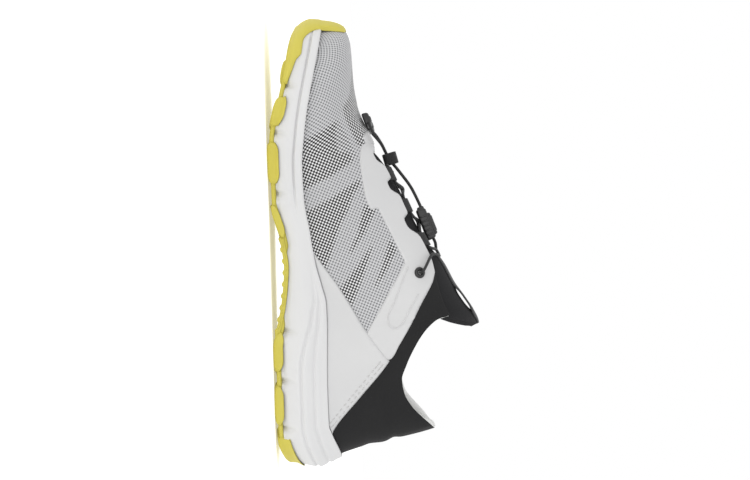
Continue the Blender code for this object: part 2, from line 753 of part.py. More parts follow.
def tube(name, points, look, spacing=2.5):
    """A cord as a curve with a round bevel and filled ends."""
    data = bpy.data.curves.new(name, "CURVE")
    data.dimensions = "3D"
    data.bevel_depth = LACE_RADIUS * MM
    data.bevel_resolution = 1 if look is None else 2
    data.use_fill_caps = True
    route = route_through(points, spacing * 2 * LACE_RADIUS)
    spline = data.splines.new("POLY")
    spline.points.add(len(route) - 1)
    for point, place in zip(spline.points, route):
        point.co = (*in_frame(place), 1.0)
    spline.use_smooth = True
    return add_object(name, data, look)


def over_tongue(along, across, lift):
    """A place above the tongue's face."""
    share = across / tongue_at("half", along)
    point = tongue_point(along, share)
    return (point[0], point[1], point[2] + lift)


def loop_place(key, end, side):
    """The lace's place at the front (+1) or rear (-1) end of a webbing loop."""
    along = LOOP_ALONG[key] + end * (LOOP_WIDTH / 2 + 1.3) * math.cos(throat_slope(LOOP_ALONG[key]))
    height = throat_edge(LOOP_ALONG[key], side)[2] + LOOP_LIFT
    height -= (along - LOOP_ALONG[key]) * math.tan(throat_slope(LOOP_ALONG[key]))
    return (along, side * (LOOP_ACROSS - 0.2), height)


CROSS_LIFT = LACE_RADIUS + 1.3  # of the lace's middle above the tongue
JOIN_ALONG = 141.5


def eyelet_place(side, lift):
    """A place above the eyelet, and the eyelet's direction."""
    station = 11.0
    while upper_point(station, side, EYELET_RISE)[0] > EYELET_AT:
        station += 0.01
    normal = upper_normal(station, side, EYELET_RISE)
    return upper_point(station, side, EYELET_RISE) + normal * lift, normal


def lace_strand(side):
    """One strand of the crossed lace, from the front bar to the join under the lock and its eyelet."""
    keys = ("front", "middle", "rear")
    route = [over_tongue(LOOP_ALONG["front"] + 4.3, 0.0, CROSS_LIFT)]
    now = side
    for i, key in enumerate(keys):
        route.append(loop_place(key, 1, now))
        route.append(loop_place(key, -1, now))
        if i < 2:
            middle = (LOOP_ALONG[key] + LOOP_ALONG[keys[i + 1]]) / 2
            route.append(over_tongue(middle, 0.0, CROSS_LIFT))
            now = -now
    route.append(over_tongue(JOIN_ALONG, 0.0, CROSS_LIFT + 0.3))
    route.append(over_tongue(JOIN_ALONG - 4.0, -now * 9.0, CROSS_LIFT + 0.8))
    end, normal = eyelet_place(-now, 1.3)
    edge = upper_point(12.2, -now, 1.0) + upper_normal(12.2, -now, 0.97) * (LACE_RADIUS + 1.4)
    edge[2] += 0.8
    route.append(tuple(edge))
    route.append(tuple(end + normal * 3.2))
    return route


def make_crossings():
    """Both strands as tubes joined into one solid."""
    one = tube("cut_lace_one", lace_strand(1), None)
    other = tube("cut_lace_other", lace_strand(-1), None)
    graph = bpy.context.evaluated_depsgraph_get()
    meshes = []
    for strand in (one, other):
        data = bpy.data.meshes.new_from_object(strand.evaluated_get(graph))
        mesh = bmesh.new()
        mesh.from_mesh(data)
        bmesh.ops.remove_doubles(mesh, verts=mesh.verts, dist=1e-6)
        bmesh.ops.recalc_face_normals(mesh, faces=mesh.faces)
        mesh.to_mesh(data)
        mesh.free()
        meshes.append(data)
    crossings = add_object("lace_crossings", meshes[0], "lace")
    boolean(crossings, "UNION", add_object("cut_lace_join", meshes[1]))
    return crossings


def make_eyelet(name, side):
    place, normal = eyelet_place(side, GAP + EYELET_WIRE + 0.5)
    ring = bpy.data.curves.new(name, "CURVE")
    ring.dimensions = "3D"
    ring.bevel_depth = EYELET_WIRE * MM
    ring.bevel_resolution = 1
    spline = ring.splines.new("POLY")
    turns = 14
    spline.points.add(turns - 1)
    turn = Vector(normal).to_track_quat("Z", "Y").to_matrix()
    for i, point in enumerate(spline.points):
        angle = 2 * math.pi * i / turns
        flat = Vector((math.cos(angle), math.sin(angle), 0)) * EYELET_RADIUS * MM
        point.co = (*(in_frame(place) + turn @ flat), 1.0)
    spline.use_cyclic_u = True
    spline.use_smooth = True
    return add_object(name, ring, "plastic")


def make_keeper():
    """A webbing band that stands on the tongue, open along the shoe."""
    slope = math.radians(KEEPER_TILT)
    crest = tongue_point(KEEPER_ALONG, 0.0)
    lift = 1.5 + KEEPER_SIZE[2] / 2
    centre = (crest[0] + lift * math.sin(slope), 0.0, crest[2] + lift * math.cos(slope))
    keeper = turned_box("lace_keeper", KEEPER_SIZE, centre, slope, "webbing", 0.5, 1)
    hole = (
        KEEPER_SIZE[0] + 4.0,
        KEEPER_SIZE[1] - 2 * KEEPER_STRAP,
        KEEPER_SIZE[2] - 2 * KEEPER_STRAP,
    )
    boolean(keeper, "DIFFERENCE", turned_box("cut_keeper", hole, centre, slope, None, 0.5, 1))
    return centre


def make_pull():
    ridge = upper_point(6.8, 1, 1.0)
    slope = math.atan(0.40)
    centre = (PULL_ALONG, 0.6, ridge[2] + (ridge[0] - PULL_ALONG) * 0.40 + PULL_LIFT)
    turned_box("pull_tab", PULL_SIZE, centre, slope, "plastic", 1.6, 3)
    return centre


def make_lock():
    slope = math.radians(LOCK_TILT)
    turned_box("cord_lock", LOCK_SIZE, (LOCK_ALONG, 0.0, LOCK_HEIGHT), slope, "plastic", 1.8, 3)
    front = LOCK_SIZE[0] / 2 + 0.5
    return (LOCK_ALONG + front * math.cos(slope), 0.0, LOCK_HEIGHT - front * math.sin(slope))


def make_run(name, side, lock_front, keeper_centre, pull_centre):
    """A free strand of the lace, from the lock through the keeper to the pull tab's end."""
    pull_end = PULL_SIZE[1] / 2 + LACE_RADIUS + 0.5
    route = [
        (lock_front[0], side * 3.2, lock_front[2]),
        (183.0, side * 3.4, 93.0),
        (195.0, side * 3.4, 84.6),
        (keeper_centre[0], side * 3.4, keeper_centre[2] - 0.8),
        (212.5, side * 6.2, 74.0),
        (217.5, side * 14.5 + pull_centre[1], 70.6),
        (221.0, side * pull_end + pull_centre[1], pull_centre[2] + 2.2),
        (pull_centre[0], side * pull_end + pull_centre[1], pull_centre[2] + 0.4),
    ]
    return tube(name, route, "lace")


clear_scene()
parts = new_collection("right_trail_shoe", True)
cutters = new_collection("cutters", False)
root = bpy.data.objects.new("shoe_root", None)
parts.objects.link(root)

make_midsole()
make_outsole()
make_insole()
make_upper()
make_tongue()
for loop_key, loop_along in LOOP_ALONG.items():
    for loop_side, side_name in ((1, "medial"), (-1, "lateral")):
        make_loop(f"lace_loop_{loop_key}_{side_name}", loop_along, loop_side)
make_crossings()
make_eyelet("eyelet_medial", 1)
make_eyelet("eyelet_lateral", -1)
keeper_middle = make_keeper()
pull_middle = make_pull()
lock_end = make_lock()
make_run("lace_run_medial", 1, lock_end, keeper_middle, pull_middle)
make_run("lace_run_lateral", -1, lock_end, keeper_middle, pull_middle)
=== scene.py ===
import math

import bmesh
import bpy
import numpy as np
from mathutils import Matrix, Vector


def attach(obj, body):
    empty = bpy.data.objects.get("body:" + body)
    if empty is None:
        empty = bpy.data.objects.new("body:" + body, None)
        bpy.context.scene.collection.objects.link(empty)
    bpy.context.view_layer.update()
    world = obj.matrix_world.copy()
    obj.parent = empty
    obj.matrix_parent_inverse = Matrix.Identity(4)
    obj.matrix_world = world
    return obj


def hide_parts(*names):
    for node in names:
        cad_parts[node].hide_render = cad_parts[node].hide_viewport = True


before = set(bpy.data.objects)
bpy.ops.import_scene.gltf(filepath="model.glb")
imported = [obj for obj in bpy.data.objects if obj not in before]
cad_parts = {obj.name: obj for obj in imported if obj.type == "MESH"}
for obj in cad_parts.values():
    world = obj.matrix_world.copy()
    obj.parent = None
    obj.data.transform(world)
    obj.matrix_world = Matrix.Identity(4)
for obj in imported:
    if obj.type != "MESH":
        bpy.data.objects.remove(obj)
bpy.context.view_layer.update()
scene = bpy.context.scene
print("frame loaded,", len(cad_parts), "nodes")

# sizes in millimetres, as in the part: along runs forward from the heel,
# across to the inner side is positive
shoe = {
    "centreAlong": 148.0,
    "centreAcross": -0.35,
    "gap": 0.3,
    "wall": 1.7,
    "rim": 2.4,
    "footGap": 0.45,
    "rubberStep": 5.0,
    "archThin": 2.2,
    "archRear": (94.0, 104.0),  # along, where the rubber thins under the arch
    "archFront": (148.0, 140.0),
    "farCollar": 3.4,  # the outer side's collar stands this much higher near the heel
}

# station, along, medial half width, lateral half width of the sole's widest line
outlineRows = (
    (0, 293.5, 8.0, -8.0), (1, 291.6, 18.5, 2.8), (2, 286.8, 28.3, 13.0), (3, 279.2, 36.6, 23.2),
    (4, 269.0, 43.5, 31.8), (5, 256, 48.2, 39.8), (6, 240, 51.2, 46.3), (7, 222, 52.2, 51.3),
    (8, 204, 51.0, 54.0), (9, 188, 47.5, 54.0), (10, 172, 43.6, 51.6), (11, 154, 41.3, 47.2),
    (12, 132, 40.3, 43.8), (13, 108, 38.8, 42.0), (14, 84, 38.0, 40.6), (15, 60, 38.0, 40.0),
    (16, 40, 37.6, 38.6), (17, 24, 34.8, 34.8),
    (18, 11, 27.0, 26.8), (19, 3, 15.0, 15.0), (20, 0, 0.0, 0.0),
)

# heights along the shoe
soleColumns = ("along", "under", "bed", "rim", "flare")
soleRows = (
    (-6, 13.0, 27.5, 42.5, 5.4), (0, 9.0, 27.3, 42.2, 5.4),
    (8, 4.6, 27.0, 40.4, 5.4), (20, 0.9, 26.3, 36.6, 5.4),
    (28, 0.0, 26.0, 34.6, 5.3), (58, 0.0, 25.6, 34.3, 5.1),
    (80, 0.0, 25.5, 34.8, 4.9), (97, 3.6, 25.3, 35.2, 4.4),
    (108, 6.0, 24.8, 35.0, 4.0), (120, 7.6, 23.6, 32.4, 3.4),
    (133, 8.5, 21.8, 29.2, 2.9), (145, 7.2, 20.0, 27.2, 2.4),
    (157, 4.8, 18.2, 25.6, 2.0), (168, 1.6, 16.9, 23.7, 1.7),
    (176, 0.0, 16.2, 22.8, 1.5), (197, 0.0, 15.6, 22.3, 1.3),
    (216, 0.0, 16.4, 24.0, 1.2), (232, 3.8, 18.6, 26.2, 1.2),
    (248, 7.8, 21.8, 29.2, 1.1), (263, 10.8, 25.0, 32.3, 0.9),
    (279, 13.6, 28.2, 35.2, 0.7), (290, 17.0, 30.2, 36.7, 0.6), (298, 20.5, 31.0, 37.4, 0.6),
)

# side of the foam, from its lower edge to the rim
sideColumns = ("rise", "tuck", "flareShare")
sideRows = (
    (0.00, 4.6, 0.0), (0.14, 2.0, 0.0), (0.30, 0.6, 0.0), (0.45, 0.0, 0.0),
    (0.72, 0.0, 0.42), (0.93, 0.0, 0.92), (1.00, 0.5, 1.0),
)

# top line of the upper: toe ridge, throat with its tabs, wings beside the tongue, collar
topColumns = (
    "station", "along", "centre", "half", "height", "arrive", "slope", "lean", "footPull", "topPull",
)
topRows = (
    (0.0, 258.0, 6.0, 0.0, 56.3, 0, -0.04, 91, 19, 30), (2.0, 258.0, 6.0, 0.0, 56.3, 0, -0.04, 93, 18, 29),
    (4.4, 258.0, 6.0, 0.0, 56.3, 0, -0.04, 95, 17, 25), (5.0, 251.0, 4.8, 0.0, 56.8, 0, -0.07, 96, 17, 23),
    (6.0, 238.0, 3.0, 0.0, 58.8, 0, -0.24, 97, 17, 22), (7.0, 222.0, 1.0, 0.0, 64.8, 0, -0.42, 98, 19, 22),
    (7.5, 213.0, 0.0, 0.0, 68.6, 0, -0.45, 98, 21, 22),
    (7.7, 211.4, 0.0, 10.0, 68.8, 18, -0.40, 98, 21, 21),
    (8.0, 206.0, 0.0, 17.4, 70.6, 36, -0.30, 98, 21, 20),
    (8.45, 197.0, 0.0, 18.4, 76.0, 45, 0.0, 98, 22, 22), (9.0, 188.0, 0.0, 18.0, 80.6, 45, 0.0, 97, 23, 23),
    (9.5, 179.8, 0.0, 18.1, 84.4, 45, 0.0, 97, 24, 24),
    (10.0, 172.0, 0.0, 17.8, 87.6, 45, 0.0, 96, 26, 25),
    (10.5, 163.8, 0.0, 18.0, 91.2, 45, 0.0, 95, 28, 25),
    (11.0, 155.0, 0.0, 18.2, 95.4, 45, 0.0, 95, 30, 25),
    (11.5, 144.0, 0.0, 18.3, 101.0, 45, 0.0, 94, 32, 26),
    (12.0, 134.0, 0.0, 19.8, 105.2, 47, 0.0, 93, 33, 25),
    (12.4, 124.0, 0.0, 22.0, 107.2, 54, 0.0, 92, 32, 25),
    (13.0, 109.0, 0.0, 25.2, 111.0, 66, 0.0, 90, 28, 25),
    (13.4, 99.0, 0.0, 27.0, 115.2, 78, 0.0, 89, 26, 25),
    (13.7, 96.6, 0.0, 28.2, 108.0, 80, 0.0, 89, 24, 22),
    (14.0, 90.0, 0.0, 28.6, 100.0, 80, 0.0, 89, 22, 20), (14.5, 78.0, 0.0, 27.4, 91.8, 76, 0.0, 89, 20, 18),
    (15.0, 66.5, 0.0, 25.2, 86.2, 72, 0.0, 88, 18, 16), (15.5, 57.5, 0.0, 22.8, 83.2, 68, 0.0, 86, 17, 15),
    (16.0, 49.5, 0.0, 21.6, 84.2, 66, 0.0, 84, 17, 15), (17.0, 40.0, 0.0, 19.0, 88.8, 66, 0.0, 78, 18, 15),
    (18.0, 32.0, 0.0, 15.2, 96.0, 68, 0.0, 74, 20, 17), (19.0, 26.0, 0.0, 9.2, 102.0, 70, 0.0, 71, 21, 18),
    (20.0, 23.4, 0.0, 0.0, 104.2, 72, 0.0, 70, 22, 19),
)

# notches cut in the throat's edge between the tabs: station, half width in stations, depth
notchRows = ((8.13, 0.20, 4.2), (9.25, 0.27, 6.3), (10.76, 0.31, 6.5))


def smoothThrough(keys, values, at):
    # a curve through the rows that never swings past them
    keys = np.asarray(keys, float)
    values = np.asarray(values, float)
    step = np.diff(keys)
    rise = np.diff(values) / step
    pull = np.zeros(len(keys))
    for k in range(1, len(keys) - 1):
        if rise[k - 1] * rise[k] > 0:
            before = 2 * step[k] + step[k - 1]
            after = step[k] + 2 * step[k - 1]
            pull[k] = (before + after) / (before / rise[k - 1] + after / rise[k])
    at = np.clip(np.asarray(at, float), keys[0], keys[-1])
    k = np.clip(np.searchsorted(keys, at, side="right") - 1, 0, len(step) - 1)
    t = (at - keys[k]) / step[k]
    start = values[k] * (1 + 2 * t) * (1 - t) ** 2 + pull[k] * step[k] * t * (1 - t) ** 2
    end = values[k + 1] * t * t * (3 - 2 * t) + pull[k + 1] * step[k] * t * t * (t - 1)
    return start + end


def reader(rows, columns):
    table = np.array(sorted(rows), float)
    return lambda name, at: smoothThrough(table[:, 0], table[:, columns.index(name)], at)


def eased(value, start, end):
    # 0 at the start, 1 at the end, soft at both
    t = np.clip((value - start) / (end - start), 0, 1)
    return t * t * (3 - 2 * t)


def hump(distance, width, power=2):
    return np.exp(-((distance / width) ** power))


def matched(*values):
    return np.broadcast_arrays(*(np.asarray(value, float) for value in values))


def raised(plan, height):
    return np.concatenate((plan, height[..., None]), -1)


def runLength(line):
    # distance along a line at each of its points
    steps = np.linalg.norm(np.diff(line, axis=0), axis=1)
    return np.concatenate(([0.0], np.cumsum(steps)))


def sheetBetween(near, far, count):
    # rows of points from one edge to the other
    share = np.linspace(0, 1, count)[None, :, None]
    return near[:, None] * (1 - share) + far[:, None] * share


soleAt = reader(soleRows, soleColumns)
sideAt = reader(sideRows, sideColumns)
topAt = reader(topRows, topColumns)

# the widest line is a closed cubic through its rows, one unit of station apart
lateralRows = [(row[1], -row[3]) for row in outlineRows[-2:0:-1]]
outlineLoop = np.array([row[1:3] for row in outlineRows] + lateralRows, float)
loopCount = len(outlineLoop)
splineSystem = np.eye(loopCount) * 4 + np.roll(np.eye(loopCount), 1, 0) + np.roll(np.eye(loopCount), -1, 0)
loopBend = 6 * (np.roll(outlineLoop, 1, 0) - 2 * outlineLoop + np.roll(outlineLoop, -1, 0))
outlineBend = np.linalg.solve(splineSystem, loopBend)


def outlineAt(station, side):
    # plan point of the widest line and its outward direction
    turn = np.where(np.asarray(side) > 0, station, loopCount - np.asarray(station, float)) % loopCount
    i = turn.astype(int) % loopCount
    j = (i + 1) % loopCount
    t = (turn - np.floor(turn))[..., None]
    a, b, p, q = outlineLoop[i], outlineLoop[j], outlineBend[i], outlineBend[j]
    point = a * (1 - t) + b * t + ((1 - t) ** 3 - (1 - t)) * p / 6 + (t**3 - t) * q / 6
    ahead = b - a + (1 - 3 * (1 - t) ** 2) * p / 6 + (3 * t * t - 1) * q / 6
    ahead = ahead / np.linalg.norm(ahead, axis=-1, keepdims=True)
    return point, np.stack((ahead[..., 1], -ahead[..., 0]), -1)


def rubberStep(along):
    # from the tread's underside up to the foam, thinner under the arch
    arch = eased(along, *shoe["archRear"]) * eased(along, *shoe["archFront"])
    return shoe["rubberStep"] - shoe["archThin"] * arch


def upperAt(station, side, rise):
    # outer face of the upper: rise -1 to 0 is the skirt inside the foam rim,
    # 0 to 1 the side up to the top line
    station, side, rise = matched(station, side, rise)
    base, outward = outlineAt(station, side)
    inset = soleAt("flare", base[..., 0]) + shoe["rim"] + shoe["footGap"]
    plan = base - outward * inset[..., None]
    rimHeight = soleAt("rim", base[..., 0])
    foot = raised(plan, rimHeight)
    farCollar = np.where(side < 0, shoe["farCollar"] * hump(station - 17.4, 1.2), 0.0)
    top = np.stack((
        topAt("along", station),
        topAt("centre", station) + side * topAt("half", station),
        topAt("height", station) + farCollar,
    ), -1)
    lean = np.radians(topAt("lean", station))[..., None]
    upward = np.concatenate((-outward * np.cos(lean), np.sin(lean)), -1)
    inward = top[..., :2] - plan
    inward = inward / np.maximum(np.linalg.norm(inward, axis=-1, keepdims=True), 1e-6)
    arrive = np.radians(topAt("arrive", station))[..., None]
    climb = np.sin(arrive) + topAt("slope", station)[..., None] * inward[..., :1] * np.cos(arrive)
    arrival = np.concatenate((inward * np.cos(arrive), climb), -1)
    first = foot + upward * topAt("footPull", station)[..., None]
    second = top - arrival * topAt("topPull", station)[..., None]
    t = np.maximum(rise, 0)[..., None]
    point = foot * (1 - t) ** 3 + first * 3 * t * (1 - t) ** 2 + second * 3 * t * t * (1 - t) + top * t**3
    point[..., 2] += np.minimum(rise, 0) * (rimHeight - soleAt("bed", plan[..., 0]) - shoe["gap"])
    return point


def topRise(station):
    # where the cloth ends: 1 on the tabs, less in the notches
    station = np.asarray(station, float)
    cut = sum(depth * hump(station - at, half, 4) for at, half, depth in notchRows)
    return 1 - cut / (3 * topAt("topPull", station))


def upperNormal(station, side, rise):
    step = 0.02
    rise = np.clip(rise, 0.0, 0.985)
    up = upperAt(station, side, rise + 0.015) - upperAt(station, side, np.maximum(rise - 0.015, 0))
    back = upperAt(np.asarray(station) + step, side, rise) - upperAt(np.asarray(station) - step, side, rise)
    normal = np.cross(back, up) * np.asarray(side, float)[..., None]
    return normal / np.maximum(np.linalg.norm(normal, axis=-1, keepdims=True), 1e-9)


# soft folds: plane, side (0 is both), from and to in that plane,
# width, depth (minus is a trough)
creaseRows = (
    ("side", 0, (15.0, 77.5), (47.0, 71.0), 3.2, -1.0),
    ("side", 0, (14.0, 70.0), (40.0, 66.0), 4.0, 0.5),
    ("side", 0, (13.0, 60.5), (36.0, 53.5), 4.0, -0.6),
    ("side", 0, (60.0, 76.0), (40.0, 62.0), 5.0, 0.5),
    ("side", 0, (104.0, 108.0), (86.0, 92.0), 5.0, -0.8),
    ("side", 0, (112.0, 106.0), (92.0, 100.0), 4.0, 0.5),
    ("top", 0, (229.0, -30.0), (232.0, 33.0), 6.0, -0.6),
    ("top", 0, (241.0, -24.0), (243.0, 30.0), 6.0, 0.4),
    ("side", 1, (205.0, 30.0), (182.0, 58.0), 6.0, -0.5),
    ("side", -1, (198.0, 30.0), (178.0, 58.0), 6.0, -0.5),
)


def segmentDistance(flat, a, b):
    a, b = np.asarray(a, float), np.asarray(b, float)
    t = np.clip(((flat - a) @ (b - a)) / np.dot(b - a, b - a), 0, 1)
    return np.linalg.norm(flat - a - t[..., None] * (b - a), axis=-1)


def foldDepth(points, side):
    depth = np.zeros(points.shape[:-1])
    for plane, onlySide, a, b, width, amount in creaseRows:
        flat = points[..., (0, 2)] if plane == "side" else points[..., (0, 1)]
        soft = hump(segmentDistance(flat, a, b), width)
        depth += np.where((onlySide == 0) | (np.asarray(side) == onlySide), amount * soft, 0.0)
    return depth


def shellAt(station, side, rise, lift=0.0):
    station, side, rise = matched(station, side, rise)
    point = upperAt(station, side, rise)
    amount = lift + foldDepth(point, side) * np.clip(np.minimum(rise * 8, (1 - rise) * 10), 0, 1)
    return point + upperNormal(station, side, rise) * amount[..., None]


def toFrame(points):
    return (np.asarray(points, float) - (shoe["centreAlong"], shoe["centreAcross"], 0.0)) * 0.001


# materials

def hexColour(text):
    share = [int(text[k : k + 2], 16) / 255 for k in (1, 3, 5)]
    return (*[c / 12.92 if c <= 0.04045 else ((c + 0.055) / 1.055) ** 2.4 for c in share], 1.0)


def addNode(tree, kind, settings=None, links=None):
    node = tree.nodes.new(kind)
    for key, value in (settings or {}).items():
        if isinstance(key, str) and hasattr(node, key):
            setattr(node, key, value)
        else:
            node.inputs[key].default_value = value
    for key, socket in (links or {}).items():
        tree.links.new(socket, node.inputs[key])
    return node


def newMaterial(name, settings):
    material = bpy.data.materials.new(name)
    material.use_nodes = True
    tree = material.node_tree
    shader = tree.nodes["Principled BSDF"]
    for key, value in settings.items():
        shader.inputs[key].default_value = value
    return material, tree, shader


def twoTone(low, high):
    return {"data_type": "RGBA", "A": hexColour(low), "B": hexColour(high)}


def dressShader(tree, shader, colour, height, depth, strength):
    # colour to the shader, height as a fine relief on it
    relief = addNode(tree, "ShaderNodeBump", {"Strength": strength, "Distance": depth}, {"Height": height})
    tree.links.new(colour, shader.inputs["Base Color"])
    tree.links.new(relief.outputs["Normal"], shader.inputs["Normal"])


meshLook = {
    "pitch": 1.29,  # holes at every other place of this lattice, so 1.8 mm apart
    "turn": 21.5,  # degrees, as in the photo
    "rim": {"To Min": 0.2, "To Max": -0.14},  # where a hole starts, in closed and in open cloth
    "soft": {"From Min": -0.28, "From Max": 0.28},  # how gently its edge falls
    "backing": ("#747577", "#030303"),  # closed cloth, open cloth
    "yarn": ("#bdbdbf", "#dededf"),
    "depth": -0.0003,
}


# open polyester mesh, knitted: pale threads round staggered round holes,
# with a black backing that shows in the open zones
def makeMeshCloth():
    settings = {"Roughness": 0.75, "IOR": 1.5, "Sheen Weight": 0.15}
    material, tree, shader = newMaterial("knitted_polyester_mesh", settings)
    cloth = addNode(tree, "ShaderNodeAttribute", {"attribute_name": "cloth"})
    dark = addNode(tree, "ShaderNodeAttribute", {"attribute_name": "dark"})
    # the "dark" attribute holds the open zones of the weave and also a band of painted shade along the foam
    # rim, both drawn as open cloth
    opennessAndShade = {"Factor": dark.outputs["Fac"]}
    turned = {"Rotation": (0.0, 0.0, math.radians(meshLook["turn"]))}
    bias = addNode(tree, "ShaderNodeMapping", turned, {"Vector": cloth.outputs["Vector"]})
    flat = addNode(tree, "ShaderNodeSeparateXYZ", {}, {"Vector": bias.outputs["Vector"]})
    scaled = {"operation": "MULTIPLY", 1: math.pi / meshLook["pitch"]}
    waves = {}
    for k, axis in enumerate(("X", "Y")):
        turn = addNode(tree, "ShaderNodeMath", scaled, {0: flat.outputs[axis]})
        wave = addNode(tree, "ShaderNodeMath", {"operation": "SINE"}, {0: turn.outputs["Value"]})
        waves[k] = wave.outputs["Value"]
    lobes = addNode(tree, "ShaderNodeMath", {"operation": "MULTIPLY"}, waves)
    rim = addNode(tree, "ShaderNodeMapRange", meshLook["rim"], {"Value": dark.outputs["Fac"]})
    levels = {0: lobes.outputs["Value"], 1: rim.outputs["Result"]}
    inside = addNode(tree, "ShaderNodeMath", {"operation": "SUBTRACT"}, levels)
    hole = addNode(tree, "ShaderNodeMapRange", meshLook["soft"], {"Value": inside.outputs["Value"]})
    backing = addNode(tree, "ShaderNodeMix", twoTone(*meshLook["backing"]), opennessAndShade)
    yarn = addNode(tree, "ShaderNodeMix", twoTone(*meshLook["yarn"]), opennessAndShade)
    colour = addNode(tree, "ShaderNodeMix", {"data_type": "RGBA"}, {
        "Factor": hole.outputs["Result"], "A": yarn.outputs["Result"], "B": backing.outputs["Result"],
    })
    dressShader(tree, shader, colour.outputs["Result"], hole.outputs["Result"], meshLook["depth"], 0.8)
    return material


# smooth solids and plain cloths: a faint mottle of two tones, then a fine grain or small cells as relief
def makeGrained(name, settings, tones, mottle, grain, depth, strength, cells=False):
    material, tree, shader = newMaterial(name, {"IOR": 1.5, **settings})
    coords = {"Vector": addNode(tree, "ShaderNodeTexCoord").outputs["Object"]}
    cloud = addNode(tree, "ShaderNodeTexNoise", dict(zip(("Scale", "Detail"), mottle)), coords)
    tone = addNode(tree, "ShaderNodeMix", twoTone(*tones), {"Factor": cloud.outputs["Fac"]})
    kind, output = ("ShaderNodeTexVoronoi", "Distance") if cells else ("ShaderNodeTexNoise", "Fac")
    skin = addNode(tree, kind, dict(zip(("Scale", "Detail"), grain)), coords)
    dressShader(tree, shader, tone.outputs["Result"], skin.outputs[output], depth, strength)
    return material


# plain cloths: cells of the given pitch in millimetres
def makeCloth(name, tones, pitch, roughness, sheen, depth):
    settings = {"Roughness": roughness, "Sheen Weight": sheen}
    return makeGrained(name, settings, tones, (60.0, 4.0), (1000.0 / pitch,), depth, 0.6, True)


# ribbed cloths and braids: ribs run across the piece's own "cloth" attribute, in millimetres
def makeRibbed(name, tones, pitch, roughness, depth, slant=0.0):
    settings = {"Roughness": roughness, "IOR": 1.5, "Sheen Weight": 0.1}
    material, tree, shader = newMaterial(name, settings)
    cloth = addNode(tree, "ShaderNodeAttribute", {"attribute_name": "cloth"})
    turned = {"Rotation": (0.0, 0.0, slant)}
    turn = addNode(tree, "ShaderNodeMapping", turned, {"Vector": cloth.outputs["Vector"]})
    waved = {"Scale": 0.314 / pitch, "Distortion": 0.4, "Detail": 1.0, "bands_direction": "X"}
    ribs = addNode(tree, "ShaderNodeTexWave", waved, {"Vector": turn.outputs["Vector"]})
    tone = addNode(tree, "ShaderNodeMix", twoTone(*tones), {"Factor": ribs.outputs["Fac"]})
    dressShader(tree, shader, tone.outputs["Result"], ribs.outputs["Fac"], depth, 0.8)
    return material


meshCloth = makeMeshCloth()
# welded thermoplastic film: smooth, pale, a little sheen, fine pebble grain of about 0.4 mm
film = makeGrained(
    "thermoplastic_film", {"Roughness": 0.5, "Coat Weight": 0.06}, ("#bdbdbe", "#c4c4c4"),
    (40.0, 3.0), (2200.0, 2.0), 0.00006, 0.6,
)
# moulded foam: chalky white, fine skin of about 0.6 mm
foam = makeGrained(
    "moulded_eva_foam", {"Roughness": 0.62, "IOR": 1.48}, ("#c9c9ca", "#cfcfcf"),
    (25.0, 3.0), (1500.0, 3.0), 0.00007, 0.5,
)
# moulded rubber: matt yellow, a slightly darker mottle, spark-eroded skin of about 0.5 mm
rubber = makeGrained(
    "moulded_yellow_rubber", {"Roughness": 0.6, "IOR": 1.52}, ("#bcb044", "#c6bc4c"),
    (70.0, 4.0), (1900.0, 2.0), 0.0001, 0.6,
)
# moulded nylon: black, satin, fine spark-eroded grain
nylon = makeGrained(
    "moulded_black_nylon", {"Roughness": 0.42, "IOR": 1.53}, ("#161617", "#202021"),
    (2600.0, 2.0), (2600.0, 2.0), 0.00008, 0.5,
)
# jersey on foam: black and quite dull, a fine knit
neoprene = makeCloth("neoprene_jersey", ("#131314", "#181819"), 0.7, 0.95, 0.0, 0.00012)
# spacer cloth: black and dull, a little coarser
tongueCloth = makeCloth("black_spacer_cloth", ("#141416", "#1a1a1c"), 0.9, 0.95, 0.0, 0.00015)
# lining knit: soft white with a faint bloom at its edges
lining = makeCloth("white_lining_knit", ("#d2d2d0", "#dcdcda"), 0.8, 0.85, 0.2, 0.00012)
# sewing thread: pale grey, a shade under the film
threadCloth = makeCloth("polyester_thread", ("#b4b4b3", "#bebebd"), 0.5, 0.7, 0.1, 0.00005)
# grosgrain: dark grey, fine ribs across the strap
strapCloth = makeRibbed("grosgrain_strap", ("#323233", "#404041"), 0.9, 0.8, 0.00012)
# sockliner: pale grey with broad soft ribs
insoleCloth = makeRibbed("ribbed_sockliner", ("#bfc0c2", "#cfd0d2"), 2.6, 0.85, 0.0002)
# braided cord: black, its plait slants round the cord
braid = makeRibbed("braided_polyester_cord", ("#101011", "#242425"), 0.8, 0.65, 0.00012, 0.8)
# webbing: black, fine ribs
webbing = makeRibbed("nylon_webbing", ("#121213", "#1f1f20"), 0.8, 0.8, 0.00012)
print("materials made")


# mesh helpers

def gridInto(mesh, points, extras=()):
    columns, rows = points.shape[0] - 1, points.shape[1] - 1
    made = bmesh.ops.create_grid(mesh, x_segments=columns, y_segments=rows, size=0.5)["verts"]
    placed = toFrame(points)
    for corner in made:
        i = round((corner.co.x + 0.5) * columns)
        j = round((corner.co.y + 0.5) * rows)
        corner.co = placed[i, j]
        for layer, values in extras:
            corner[layer] = values[i, j]
    return made


def clothMesh():
    # an empty mesh with its own coordinates for the weave
    mesh = bmesh.new()
    return mesh, mesh.verts.layers.float_vector.new("cloth")


def finishPiece(name, mesh, materials, replaced=(), outward=True):
    bmesh.ops.remove_doubles(mesh, verts=mesh.verts, dist=2e-5)
    bmesh.ops.dissolve_degenerate(mesh, edges=mesh.edges, dist=1e-6)
    if outward:
        bmesh.ops.recalc_face_normals(mesh, faces=mesh.faces)
    for face in mesh.faces:
        face.smooth = True
    data = bpy.data.meshes.new(name)
    mesh.to_mesh(data)
    mesh.free()
    for material in materials:
        data.materials.append(material)
    piece = bpy.data.objects.new(name, data)
    scene.collection.objects.link(piece)
    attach(piece, "root")
    if replaced:
        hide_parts(*replaced)
    return piece


